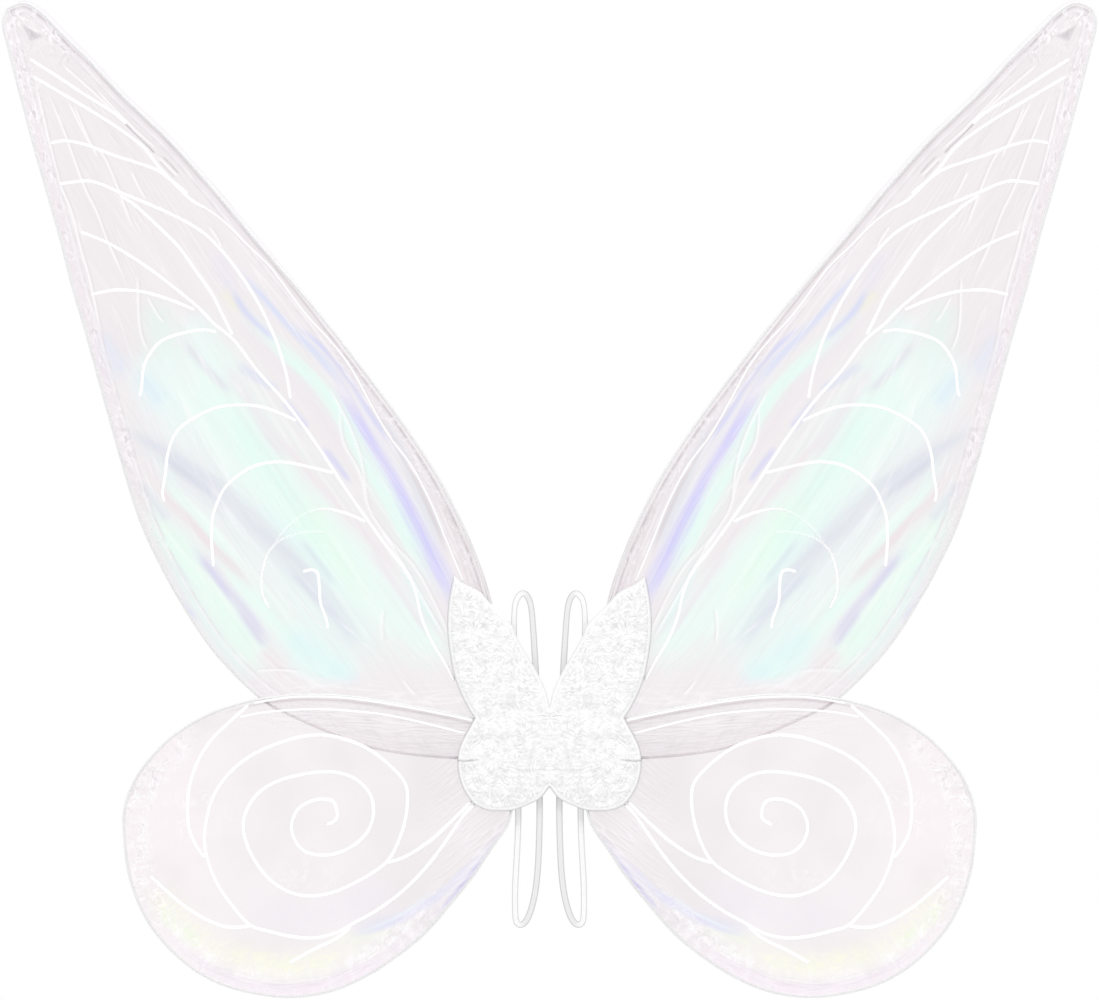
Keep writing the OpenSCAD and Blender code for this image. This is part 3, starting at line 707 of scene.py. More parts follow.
# line, half width at its two ends, colour, strength
upper_streaks = [
    ([(-398, 432), (-372, 380), (-330, 300), (-290, 230), (-240, 150), (-206, 72)], 40, 78, (238, 248, 246), 0.85),
    ([(-362, 440), (-345, 400), (-322, 360)], 16, 18, PALE_MINT, 0.8),
    ([(-392, 428), (-384, 392)], 14, 16, (230, 246, 240), 0.75),
    ([(-400, 402), (-385, 357), (-352, 317)], 22, 20, PALE_MINT, 0.85),
    ([(-376, 428), (-334, 352), (-288, 282), (-240, 207), (-200, 137), (-155, 62)], 26, 34, MINT, 0.95),
    ([(-232, 232), (-190, 180), (-150, 132), (-118, 96), (-98, 70)], 14, 20, (236, 252, 247), 0.9),
    ([(-388, 238), (-352, 172), (-312, 112), (-282, 78)], 11, 14, (233, 251, 245), 0.85),
    ([(-262, 100), (-225, 78), (-190, 66)], 14, 16, (233, 250, 248), 0.8),
    ([(-394, 226), (-366, 164), (-331, 108), (-286, 62)], 5, 8, (233, 250, 245), 0.8),
    ([(-406, 262), (-384, 206), (-352, 148)], 2, 2, (222, 226, 236), 0.6),
    ([(-330, 350), (-290, 290), (-250, 230), (-215, 170)], 8, 10, DEEP_MINT, 0.7),
    ([(-250, 255), (-215, 200), (-180, 145)], 9, 9, (232, 254, 238), 0.7),
    ([(-405, 365), (-393, 350)], 8, 9, SKY, 0.7),
    ([(-446, 404), (-434, 382)], 9, 11, (227, 232, 248), 0.7),
    ([(-407, 268), (-397, 240), (-383, 210), (-353, 177), (-323, 134), (-300, 100), (-268, 70)], 9, 13, (234, 253, 243), 0.9),
    ([(-410, 304), (-383, 277), (-373, 250), (-353, 227), (-330, 200), (-310, 167), (-283, 134), (-250, 97), (-214, 62)], 6, 10, MINT, 0.9),
    ([(-300, 247), (-260, 207), (-220, 157), (-180, 97)], 8, 9, (231, 250, 246), 0.75),
    ([(-268, 126), (-233, 94), (-198, 58)], 13, 21, (229, 252, 246), 0.9),
    ([(-250, 107), (-236, 93)], 9, 9, SKY, 0.3),
    ([(-214, 78), (-202, 64)], 9, 9, SKY, 0.35),
    ([(-434, 328), (-407, 307), (-373, 284), (-340, 260), (-307, 234), (-277, 204), (-250, 177), (-217, 140), (-190, 107), (-168, 76)], 13, 13, (229, 232, 238), 0.9),
    ([(-430, 324), (-404, 305), (-372, 288), (-340, 268), (-310, 244)], 4, 5, (223, 227, 236), 0.75),
    ([(-392, 295), (-366, 275), (-338, 252), (-318, 232)], 4, 4, (214, 217, 230), 0.7),
    ([(-300, 228), (-276, 207), (-250, 184), (-226, 158)], 5, 4, (224, 228, 236), 0.7),
    ([(-268, 186), (-244, 162), (-214, 130), (-190, 98)], 4, 4, (221, 226, 238), 0.65),
    ([(-250, 210), (-232, 186), (-214, 160)], 3, 3, (221, 230, 240), 0.6),
    ([(-404, 286), (-383, 250), (-360, 227), (-340, 204), (-317, 180), (-292, 154)], 4, 5, ROSE, 0.95),
    ([(-362, 203), (-340, 180), (-320, 154), (-297, 124), (-278, 94)], 5, 6, (225, 223, 240), 0.85),
    ([(-352, 192), (-334, 170), (-316, 146)], 2.5, 3, (218, 215, 241), 0.6),
    ([(-312, 138), (-298, 118), (-284, 98)], 3, 3, (220, 215, 238), 0.6),
    ([(-395, 232), (-372, 200), (-345, 172), (-322, 142), (-300, 112)], 2, 2.5, (244, 253, 248), 0.7),
    ([(-376, 262), (-352, 236), (-326, 208), (-300, 176), (-272, 142), (-246, 112)], 2.5, 3, (243, 254, 249), 0.75),
    ([(-352, 262), (-322, 232), (-292, 198), (-262, 162)], 2, 2, (240, 246, 246), 0.6),
    ([(-340, 372), (-300, 318), (-262, 262), (-228, 208)], 3, 3, (228, 243, 240), 0.55),
    ([(-388, 378), (-360, 340), (-334, 300), (-306, 262)], 3, 4, (243, 254, 248), 0.6),
    ([(-232, 232), (-204, 190), (-176, 142), (-152, 96)], 3, 4, (243, 254, 248), 0.6),
    ([(-222, 168), (-198, 134), (-176, 100)], 3, 3, (242, 254, 249), 0.6),
    ([(-405, 259), (-385, 231)], 4, 4, (222, 229, 238), 0.75),
    ([(-389, 170), (-370, 147), (-351, 124)], 3, 3, (221, 223, 245), 0.8),
    ([(-290, 99), (-276, 84), (-262, 70)], 6, 7, ROSE, 0.75),
    ([(-371, 409), (-345, 380), (-315, 350)], 4, 4, (230, 231, 236), 0.9),
    ([(-333, 389), (-310, 360), (-273, 304), (-251, 282)], 5, 6, (238, 234, 238), 0.85),
    ([(-282, 327), (-243, 277), (-210, 240), (-177, 207), (-151, 165)], 4, 4, PINK, 0.9),
    ([(-262, 322), (-222, 262), (-186, 214)], 1.6, 1.6, (246, 243, 245), 0.8),
    ([(-189, 203), (-167, 180), (-138, 138), (-118, 104)], 3, 3, (240, 236, 240), 0.85),
    ([(-152, 190), (-130, 150), (-108, 112)], 4, 5, (226, 250, 245), 0.7),
    ([(-315, 385), (-293, 370), (-268, 355)], 4, 3, (219, 226, 243), 0.7),
    ([(-262, 342), (-245, 322)], 3, 3, (213, 216, 246), 0.7),
    ([(-229, 302), (-213, 282), (-198, 262)], 3.5, 2.5, (214, 215, 246), 0.75),
    ([(-320, 440), (-260, 370), (-220, 317), (-188, 264)], 8, 6, (240, 234, 238), 0.95),
    ([(-319, 449), (-293, 420), (-253, 384), (-227, 357), (-207, 330), (-187, 290), (-163, 250), (-140, 207), (-120, 172), (-101, 143)], 6, 10, (231, 253, 246), 0.95),
    ([(-324, 452), (-314, 442)], 5, 5, YELLOW, 0.8),
    ([(-330, 486), (-320, 464)], 6, 6, (231, 229, 245), 0.55),
    ([(-319, 463), (-303, 434), (-271, 403)], 3, 3, (216, 220, 247), 0.8),
    ([(-315, 483), (-287, 450), (-260, 420), (-227, 387), (-198, 352)], 3, 4, (218, 225, 248), 0.85),
    ([(-218, 377), (-187, 320), (-161, 277), (-136, 229), (-117, 190), (-102, 160), (-84, 122)], 4.2, 8.5, (213, 211, 252), 0.95),
    ([(-226, 376), (-196, 322), (-169, 278), (-142, 228), (-122, 190)], 1.4, 1.6, (231, 245, 248), 0.8),
    ([(-206, 374), (-178, 322), (-150, 274), (-124, 224), (-106, 186)], 1.2, 1.4, (238, 240, 247), 0.75),
    ([(-262, 429), (-227, 400), (-200, 367), (-177, 330), (-151, 291)], 2, 3, (213, 217, 249), 0.9),
    ([(-172, 340), (-145, 287), (-125, 242), (-103, 194)], 5, 6, (227, 231, 238), 0.85),
    ([(-240, 428), (-200, 382), (-153, 327), (-127, 284), (-107, 240), (-87, 194), (-70, 152)], 3, 7, (234, 229, 231), 0.8),
    ([(-186, 352), (-156, 306), (-132, 262), (-112, 218), (-98, 180)], 1.6, 2.0, (217, 210, 213), 0.75),
    ([(-150, 318), (-124, 270), (-102, 222), (-84, 176)], 1.2, 1.5, (250, 246, 248), 0.7),
]
lower_streaks = [
    ([(-320, -150), (-250, -170), (-180, -150), (-148, -126)], 18, 16, (242, 237, 246), 0.5),
    ([(-394, -150), (-384, -168), (-362, -188), (-344, -198)], 10, 8, (240, 251, 229), 0.9),
    ([(-340, -202), (-290, -213), (-250, -218), (-200, -206)], 9, 7, (250, 250, 232), 0.9),
    ([(-220, -196), (-180, -188), (-150, -172)], 7, 6, (246, 250, 236), 0.7),
    ([(-412, -160), (-398, -190), (-370, -218), (-330, -238), (-270, -247), (-220, -238), (-170, -218), (-130, -190)], 6, 6, (251, 239, 249), 0.85),
    ([(-210, -190), (-176, -180), (-149, -170), (-126, -158), (-104, -144), (-80, -122), (-58, -99), (-44, -82)], 6, 3, (225, 225, 250), 0.8),
    ([(-116, -170), (-84, -135), (-58, -101), (-46, -84)], 2.2, 2.2, (208, 203, 238), 0.9),
    ([(-190, -186), (-150, -168), (-116, -144)], 1.5, 1.5, (240, 246, 250), 0.8),
    ([(-150, -176), (-112, -148), (-78, -112)], 1.4, 1.4, (232, 232, 247), 0.7),
    ([(-120, -166), (-88, -130), (-58, -94)], 3, 3, (247, 243, 248), 0.7),
    ([(-210, -200), (-190, -206), (-160, -204)], 5, 5, (250, 250, 244), 0.6),
]
upper_creases = [
    [(-500, 651), (-484, 611), (-466, 562), (-453, 535), (-442, 506), (-425, 468)],
    [(-482, 647), (-460, 604), (-446, 591), (-431, 557), (-418, 520)],
    [(-514, 664), (-500, 604), (-489, 562), (-478, 535), (-469, 499), (-460, 468), (-453, 435), (-446, 399)],
    [(-487, 682), (-462, 660), (-437, 637)],
    [(-475, 640), (-462, 610), (-452, 590)],
    [(-418, 575), (-410, 558), (-404, 548)],
    [(-402, 450), (-392, 432), (-386, 425)],
    [(-412, 470), (-410, 420), (-402, 396)],
    [(-219, 357), (-200, 320), (-188, 285), (-182, 240)],
    [(-210, 347), (-207, 307), (-190, 274), (-180, 237), (-160, 207), (-133, 177), (-107, 127), (-96, 98)],
    [(-172, 222), (-150, 188), (-128, 150), (-104, 108)],
    [(-340, 520), (-332, 508), (-328, 500)],
    [(-166, 138), (-168, 120), (-167, 106)],
    [(-146, 66), (-140, 58), (-134, 52)],
    [(-292, 76), (-270, 77), (-250, 75)],
    [(-452, 656), (-437, 640), (-424, 627), (-409, 612), (-393, 598)],
    [(-418, 619), (-408, 607), (-399, 597)],
    [(-391, 590), (-382, 581), (-372, 571)]]
upper_folds = [
    [(-424, 623), (-410, 609), (-396, 595)],
    [(-386, 590), (-379, 583), (-372, 575)],
    [(-390, 586), (-383, 578), (-376, 571)]]


def ridges(n, width):
    return np.exp(-(n / width) ** 2)


def blend_to(col, colour, f):
    f = np.clip(f, 0, 1)[:, None]
    return col * (1 - f) + linear(colour)[None] * f


def flecks(x, z, sx, sz, seed):
    """Crumpled glints: painted highlights where light catches, and the painted shade beside each. Both 0 to 1."""
    wx = x + 5 * gnoise(x / 13, z / 13, seed + 1)
    wz = z + 5 * gnoise(x / 13 + 30, z / 13, seed + 2)
    n = gnoise(wx / sx, wz / sz, seed)
    m = gnoise(wx / sx * 0.45, wz / sz * 0.45, seed + 3)
    thin = np.exp(-(n / 0.14) ** 2) * step(-0.25, 0.35, m)
    blob = np.clip((n - 0.45) * 3, 0, 1) * step(0.1, 0.5, m)
    beside = np.exp(-((n + 0.30) / 0.13) ** 2) * step(-0.1, 0.45, m)
    return np.clip(thin + blob, 0, 1), np.clip(beside, 0, 1)


def upper_look(pts, S, T, d, at):
    x, z = pts[:, 0], pts[:, 1]
    # along and across the wing's long axis
    ux = x * 0.832 + z * 0.555
    uz = -x * 0.555 + z * 0.832
    lift = (0.55 * fnoise(S * 9, T * 2.6, 3) + 0.22 * fnoise(S * 26, T * 5.5, 8)) * MM
    fan = S * 30 + 0.5 * gnoise(S * 3, T * 4, 77)
    c1 = ridges(gnoise(fan * 0.55, T * 4.0, 21), 0.05) * step(0.0, 0.45, gnoise(S * 7 + 5, T * 7, 22))
    c2 = ridges(gnoise(fan * 1.25, T * 7, 43), 0.075) * step(-0.1, 0.4, gnoise(S * 9 + 5, T * 9, 44))
    c3 = ridges(gnoise(fan * 1.25 + 0.35, T * 7, 43), 0.08) * step(-0.1, 0.4, gnoise(S * 9 + 5, T * 9, 44))
    near_tip = step(0.82, 0.99, T)
    trail = step(0.72, 0.92, S)
    lead = step(0.25, 0.05, S)
    band = np.exp(-((d - 8) / 6) ** 2)
    fl_w, fl_d = flecks(x, z, 6.0, 9.0, 300)
    fw2, fd2 = flecks(x, z, 3.6, 5.0, 310)
    fl_w, fl_d = np.clip(fl_w + 0.8 * fw2, 0, 1), np.clip(fl_d + 0.7 * fd2, 0, 1)
    crumple = np.clip(0.9 * band * step(0.30, 0.55, T) * trail + 1.1 * near_tip * step(36, 10, d) + 0.35 * band * step(0.85, 0.95, T), 0, 1)

    col = np.repeat(linear((243, 238, 240))[None], len(pts), 0)
    tone = 0.5 + 0.5 * fnoise(ux / 26, uz / 150, 60, 2)
    col = blend_to(col, (238, 234, 236), 0.7 * np.clip(tone, 0, 1) * step(120, 330, z))
    col = blend_to(col, (247, 242, 244), 0.55 * step(0.45, 0.75, gnoise(ux / 12, uz / 120, 62)))
    col = paint(pts, col, upper_streaks, 400)
    # the colours end before the root, where the two layers of film are plain
    top_z = np.interp(x, [-300, -246, -208, -169, -118, -84, -60], [44, 50, 49, 44, 35, 27, 22])
    low = step(24, 8, z - top_z) * step(-70, -130, x) + step(44, 20, z - top_z) * step(-160, -90, x)
    low = np.clip(low, 0, 1)
    col = blend_to(col, (242, 238, 240), low)
    root = low * np.exp(-((gnoise(z / 6 - x / 70, x / 60, 66)) / 0.12) ** 2)
    col = blend_to(col, (250, 247, 248), 0.8 * root)
    col = blend_to(col, (252, 251, 252), 0.9 * step(2, -4, z - top_z) * step(-300, -250, x))
    # painted shade in the gathered film along the lower wing's top edge
    gather_shade = ridges(gnoise(z / 3.6 + x / 40, x / 60, 67), 0.16) * step(4, -4, z - top_z) * step(-260, -190, x)
    col = blend_to(col, (226, 222, 223), 0.75 * gather_shade)
    # long glints and the thin shadows beside them
    glint = np.clip(0.55 * c1 + 0.45 * c2 * (0.5 + 0.8 * step(0.5, 0.8, T) + 0.5 * trail), 0, 1)
    shade = np.clip(0.5 * c3 * (0.4 + 0.8 * step(0.5, 0.8, T)), 0, 1)
    hand = np.zeros(len(pts))
    crease_shadow = np.zeros(len(pts))
    # painted highlights along the listed creases, with painted shadow just beside each
    for line in upper_creases:
        c = catmull(line, 5)
        dl, run, total = line_frame(pts, c)
        ends = step(0, 0.15, run / total + 0.04) * step(0, 0.15, 1.04 - run / total)
        hand = np.maximum(hand, np.exp(-(dl / 1.0) ** 2) * ends)
        crease_shadow = np.maximum(crease_shadow, np.exp(-((dl - 2.0) / 0.9) ** 2) * ends)
    col = blend_to(col, (222, 217, 219), 0.5 * shade + 0.45 * crease_shadow)
    col = blend_to(col, (254, 253, 254), np.maximum(0.75 * glint, 0.9 * hand))
    # rim: a pale bonded line inside the hem, with a line of painted shade just inside it, crumpled towards the tip
    hem_w = np.where(S > 0.5, 15 - 3 * T, 19 - 10 * step(0.25, 0.75, T))
    inner = np.exp(-((d - hem_w + 1.5) / 1.1) ** 2) * step(0.05, 0.2, T)
    hem_line_shade = np.exp(-((d - hem_w - 0.8) / 0.9) ** 2) * step(0.05, 0.2, T)
    col = blend_to(col, (229, 223, 226), 0.75 * hem_line_shade * np.clip(0.75 + gnoise(at * 160, S * 3, 84), 0, 1))
    col = blend_to(col, (253, 250, 251), 0.85 * inner * np.clip(0.8 + gnoise(at * 120, S * 3, 85), 0, 1))
    col = blend_to(col, (245, 236, 240), 0.5 * np.exp(-((d - 6) / 4) ** 2) * trail * step(220, 300, z))
    # along the leading edge: paler out to the wire, a line of painted shadow from the hem's fold, and a painted
    # highlight on the wire
    front = (S < 0.5) * step(0.02, 0.06, T)
    at_line = 5.0 - 2.8 * step(0.45, 0.58, T) + 1.4 * step(0.84, 0.92, T) + 0.5 * gnoise(at * 60, S * 0, 71)
    col = blend_to(col, (248, 244, 246), 0.8 * front * step(at_line, at_line - 2.5, d))
    col = blend_to(col, (208, 202, 205), front * np.exp(-((d - at_line) / 1.2) ** 2) * np.clip(0.72 + 0.4 * gnoise(at * 90, S * 0, 72), 0, 1))
    col = blend_to(col, (255, 251, 253), 0.8 * front * np.exp(-((d - at_line + 3.0) / 1.0) ** 2) * step(0.15, 0.3, T) * np.clip(0.5 + gnoise(at * 40, S * 0, 73), 0, 1))
    # crumples near the leading edge and along the rim: painted highlights with painted shade beside them
    sp_w, sp_d = flecks(x, z, 2.6, 3.4, 350)
    near_lead = front * step(17, 12, d) * step(0.5, 0.42, T) * step(2.0, 4.0, d)
    col = blend_to(col, (222, 216, 219), 0.45 * near_lead * sp_d)
    col = blend_to(col, (255, 253, 254), 0.85 * near_lead * sp_w)
    col = blend_to(col, (216, 208, 212), 0.75 * crumple * fl_d)
    col = blend_to(col, (255, 254, 255), 0.9 * crumple * fl_w)
    # painted shade along three folds in the film
    for line, w, dark in zip(upper_folds, (0.85, 0.7, 0.6), (0.7, 0.45, 0.4)):
        dl, al = line_distance(pts, catmull(line, 5))
        col = blend_to(col, (178, 172, 176), dark * np.exp(-(dl / w) ** 4))
    tri = np.full(len(pts), 99.0)
    corners = [(-527, 722), (-506, 711), (-519, 706)]
    for (ax, az), (bx, bz) in zip(corners, corners[1:] + corners[:1]):
        tri = np.minimum(tri, ((az - bz) * (x - ax) + (bx - ax) * (z - az)) / -math.hypot(bx - ax, bz - az))
    col = blend_to(col, (204, 199, 202), 0.8 * step(-1.2, 1.6, tri) * (0.8 + 0.3 * gnoise(x / 3, z / 3, 88)))
    col = blend_to(col, (250, 250, 250), 0.9 * step(2.4, 1.2, d))
    behind = step(2, -5, z - top_z) * step(-310, -270, x)
    col = col * (1 - 0.6 * behind[:, None]) + 0.6 * behind[:, None]
    # where highlights are painted, more of the film's own pale surface shows
    white = np.clip(np.maximum(glint, hand) + crumple * fl_w, 0, 1) * (1 - behind)
    lift = lift + (0.30 * c1 + 0.2 * c2 - 0.35 * hand - 0.45 * crumple * fl_w + 0.2 * crumple * fl_d) * MM
    body = (MILKY + 0.18 * white) * (1 - 0.8 * behind)

    def hem(p, dd, along):
        c = np.repeat(linear((253, 252, 253))[None], len(p), 0)
        thick = step(300, 160, p[:, 1]) * step(-300, -200, p[:, 0]) * step(60, 120, p[:, 1])
        pleat = np.clip(0.5 + gnoise(dd / 3.2, along / 40, 87), 0, 1)
        c = blend_to(c, (241, 236, 238), 0.8 * thick * pleat)
        hidden = step(52, 40, p[:, 1]) * step(-310, -270, p[:, 0]) * step(-90, -110, p[:, 0])
        return {"colour": c, "body": 0.03 * (1 - hidden)}
    return {"lift": lift, "colour": col, "body": body, "hem": hem}


def lower_look(pts, S, T, d, at):
    x, z = pts[:, 0], pts[:, 1]
    r = np.hypot(x + 250, z + 95)
    ang = np.arctan2(z + 95, x + 250)
    lift = (0.45 * fnoise(S * 7, T * 2.4, 103) + 0.2 * fnoise(S * 20, T * 5, 108)) * MM
    left = step(-330, -400, x)
    low = step(-120, -190, z)
    outer = np.clip(left + low, 0, 1) * step(-60, -110, x)
    band = np.exp(-(np.clip(np.abs(d - 13) - 6, 0, 99) / 8) ** 2) * step(0.5, 3.0, d)
    fl_w, fl_d = flecks(x, z, 8.0, 8.0, 500)
    fw2, fd2 = flecks(x, z, 4.2, 4.2, 510)
    fw3, fd3 = flecks(x, z, 5.5, 4.5, 520)
    fl_w, fl_d = np.clip(fl_w + 0.8 * fw2 + 0.8 * fw3, 0, 1), np.clip(fl_d + 0.7 * fd2 + 0.7 * fd3, 0, 1)
    # short creases that run out to the bottom rim, with painted highlights on them
    ray = np.clip(gnoise(ang * 30, r / 40, 131) - 0.1, 0, 1) * 1.6
    ring = ridges(gnoise(ang * 5, r / 3.2, 132), 0.16) * step(-0.2, 0.4, gnoise(ang * 9, r / 14, 133))
    crumple = band * outer * (1 - 0.45 * step(-200, -235, z))

    col = np.repeat(linear((245, 241, 242))[None], len(pts), 0)
    col = blend_to(col, (250, 243, 246), step(-300, -390, x))
    col = blend_to(col, (239, 235, 236), 0.95 * step(-230, -110, x))
    cloud = fnoise(x / 60, z / 60, 161, 2)
    col = blend_to(col, (238, 233, 235), 0.55 * np.clip(cloud, 0, 1))
    col = blend_to(col, (249, 244, 246), 0.5 * np.clip(-cloud, 0, 1))
    col = blend_to(col, (251, 247, 249), 0.6 * step(-190, -235, z))
    plain = col.copy()
    col = paint(pts, col, lower_streaks, 600)
    broken = np.clip(0.72 + 0.9 * gnoise(x / 6 + z / 20, z / 5, 601) + 0.5 * gnoise(x / 14, z / 14, 602), 0.15, 1)
    broken = np.where(x > -200, 1.0, broken)[:, None]
    col = plain * (1 - broken) + col * broken
    # gathered creases inside the top edge and towards the cover: painted highlights with painted shade beside them
    top = np.exp(-((d - 20) / 15) ** 2) * step(0, 30, z + 30) * step(-320, -250, x)
    g = ridges(gnoise(z / 3.4 + x / 60, x / 55, 144), 0.13)
    g2 = ridges(gnoise(z / 3.4 + x / 60 + 0.4, x / 55, 144), 0.13)
    col = blend_to(col, (226, 221, 223), 0.55 * g2 * top)
    col = blend_to(col, (252, 249, 250), 0.7 * g * top)
    # creases that run from the cover into the wing's lower right: painted highlights with painted shade beside them
    v = (z + 62) * 0.80 - (x + 38) * 0.60
    w = (x + 38) * 0.80 + (z + 62) * 0.60
    near = step(-150, -60, x) * step(10, -20, z)
    g3 = ridges(gnoise(v / 4.5, w / 50, 147), 0.12) * near
    g4 = ridges(gnoise(v / 4.5 + 0.4, w / 50, 147), 0.12) * near
    col = blend_to(col, (224, 220, 226), 0.45 * g4)
    col = blend_to(col, (252, 250, 252), 0.6 * g3)
    # crumples along the rim: painted shade and painted highlights
    col = blend_to(col, (226, 220, 223), 0.75 * crumple * fl_d * (0.35 + 0.65 * step(-210, -150, z)))
    col = blend_to(col, (255, 254, 255), crumple * fl_w + 0.5 * crumple * ray + 0.45 * ring * crumple * low)
    # painted highlights of crumples in three patches
    spots = (np.exp(-((x + 342) ** 2 + (z + 62) ** 2) / 24 ** 2) + np.exp(-((x + 372) ** 2 + (z + 70) ** 2) / 22 ** 2)
             + 0.8 * np.exp(-((x + 245) ** 2 / 40 ** 2 + (z + 128) ** 2 / 16 ** 2)))
    sw, sd = flecks(x, z, 6.0, 9.0, 540)
    col = blend_to(col, (255, 252, 253), 0.75 * np.clip(spots, 0, 1) * sw)
    rail = step(-330, -296, x) * step(-20, 10, z)
    col = blend_to(col, (224, 218, 221), 0.9 * rail * np.exp(-((d - 4.6) / 1.2) ** 2))
    col = blend_to(col, (255, 252, 254), 0.9 * rail * np.exp(-(d / 2.2) ** 2))
    # yellow and mint glints inside the lower rim, and fine lines that run along it
    yellow = np.exp(-((d - 30) / 13) ** 2) * step(-120, -165, z) * step(-185, -225, x)
    yellow = np.maximum(yellow, np.exp(-((d - 22) / 10) ** 2) * step(-130, -160, z) * step(-360, -385, x))
    stroke = np.clip(1.5 * gnoise((x * 0.9 + z * 0.45) / 9, (z * 0.9 - x * 0.45) / 3.6, 611) + 0.6 * fw3, 0, 1)
    col = blend_to(col, (250, 251, 236), 0.35 * yellow)
    col = blend_to(col, (253, 254, 236), 0.6 * yellow * stroke)
    col = blend_to(col, (249, 238, 248), 0.45 * np.exp(-((d - 9) / 5) ** 2) * step(-150, -215, z))
    lines = ridges(gnoise(d / 2.4, at * 16, 612), 0.2) * np.exp(-((d - 11) / 7) ** 2) * step(-190, -225, z)
    col = blend_to(col, (228, 221, 227), 0.45 * lines)
    col = blend_to(col, (250, 250, 250), 0.9 * step(2.4, 1.2, d))
    # where highlights are painted, more of the film's own pale surface shows
    white = np.clip(crumple * (fl_w + 0.4 * ray) + spots * sw + 0.6 * g * top + 0.5 * g3, 0, 1)
    lift = lift + (-0.45 * crumple * fl_w + 0.25 * crumple * fl_d + 0.25 * crumple * ray - 0.3 * spots * sw
                   - 0.25 * g * top - 0.25 * g3) * MM
    body = MILKY + 0.16 * white

    def hem(p, dd, along):
        c = np.repeat(linear((254, 254, 254))[None], len(p), 0)
        return {"colour": c, "body": np.full(len(p), 0.02)}
    return {"lift": lift, "colour": col, "body": body, "hem": hem}


upper_films, upper_area, upper_v, upper_f = make_film(
    "upper_film", upper_wire[2:20], upper_wire[37:18:-1], UPPER_Y,
    lambda t: 19 - 10 * step(0.25, 0.75, t), lambda t: 15 - 3 * t, 440, 185, upper_look,
    lambda t: 0.3 + 2.4 * step(0.48, 0.60, t) * step(1.0, 0.95, t))
lower_films, lower_area, lower_v, lower_f = make_film(
    "lower_film", lower_wire[4:19], lower_wire[35:17:-1], LOWER_Y,
    lambda t: 18 - 5 * t, lambda t: 13 + 0 * t, 300, 200, lower_look, lambda t: 0.3 + 0 * t)
for pair, cad, area, flat in ((upper_films, "upper", upper_area, (0.26, 0.78)), (lower_films, "lower", lower_area, (0.26, 0.33))):
    for o, side in zip(pair, ("left", "right")):
        o.name = f"{side}_{cad}_wing_film"
        o.data.materials.append(film_mats[cad])
        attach(o, f"{side}_half")
        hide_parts(f"{side}_{cad}_film")
print("film areas", upper_area, lower_area)


# ------------------------------------------------------------------ wires
for cad, line, y0 in (("upper", upper_wire, UPPER_Y), ("lower", lower_wire, LOWER_Y)):
    p = soften(catmull(line, 24), 6)
    p = resample(p, 520)
    path = np.stack([p[:, 0] * U, np.full(len(p), y0), p[:, 1] * U], 1)
    v, f = tube(path, WIRE_R, 14)
    for o, side in zip(both_sides(f"{cad}_wing_wire", v, f), ("left", "right")):
        o.data.materials.append(wire_mat)
        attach(o, f"{side}_half"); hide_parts(f"{side}_{cad}_frame")


# ------------------------------------------------------------------ vein lines
def vein_mesh(line, width, height, bvh, y0, seed, fade=(0.0, 0.0), taper=(True, True)):
    p = soften(catmull(line, 20), 4)
    count = max(int(arclength(p)[-1] * U / (1.1 * MM)), 8)
    p = resample(p, count)
    t = tangents(p)
    nrm = np.stack([-t[:, 1], t[:, 0]], 1)
    a = arclength(p)
    w = width * (1 + 0.10 * gnoise(a / 14, a * 0 + 0.5, seed))
    e = np.ones(count)
    reach = 1.6
    if taper[0]:
        e = np.minimum(e, np.sqrt(np.clip(1 - np.clip(1 - a * U / (reach * MM), 0, 1) ** 2, 0.03, 1)))
    if taper[1]:
        e = np.minimum(e, np.sqrt(np.clip(1 - np.clip(1 - (a[-1] - a) * U / (reach * MM), 0, 1) ** 2, 0.03, 1)))
    prof = [(-1.0, 0.0), (-0.82, 0.55), (-0.45, 0.92), (0.0, 1.0), (0.45, 0.92), (0.82, 0.55), (1.0, 0.0)]
    verts, faces = [], []
    ys = np.full(count, np.nan)
    for i in range(count):
        for off in (0.0, -0.45, 0.45):
            hit = bvh.ray_cast(Vector((p[i, 0] * U + nrm[i, 0] * off * width, -1.0, p[i, 1] * U + nrm[i, 1] * off * width)), Vector((0, 1, 0)))
            if hit[0] is not None:
                ys[i] = hit[0].y if np.isnan(ys[i]) else min(ys[i], hit[0].y)
    ok = ~np.isnan(ys)
    ys = np.interp(np.arange(count), np.flatnonzero(ok), ys[ok]) if ok.any() else np.full(count, y0)
    ys = np.minimum(ys, 0.5 * (np.minimum(np.roll(ys, 1), np.roll(ys, -1)) + ys))
    for _ in range(6):
        ys[1:-1] = 0.25 * ys[:-2] + 0.5 * ys[1:-1] + 0.25 * ys[2:]
    for i in range(count):
        y = ys[i]
        for q, h in prof:
            off = q * w[i] / 2 * e[i]
            verts.append((p[i, 0] * U + nrm[i, 0] * off, y + 0.06 * MM - (h * height * e[i] + 0.06 * MM), p[i, 1] * U + nrm[i, 1] * off))
        for q in (0.7, -0.7):
            off = q * w[i] / 2 * e[i]
            verts.append((p[i, 0] * U + nrm[i, 0] * off, y + 0.40 * MM, p[i, 1] * U + nrm[i, 1] * off))
    k = 9
    for i in range(count - 1):
        for j in range(k):
            j2 = (j + 1) % k
            faces.append((i * k + j, i * k + j2, (i + 1) * k + j2, (i + 1) * k + j))
    faces.append(tuple(reversed(range(k))))
    faces.append(tuple(range((count - 1) * k, count * k)))
    return verts, faces, np.repeat(np.interp(a / a[-1], [0, 0.25, 0.6, 1], [fade[0], fade[0], fade[1], fade[1]]), k)


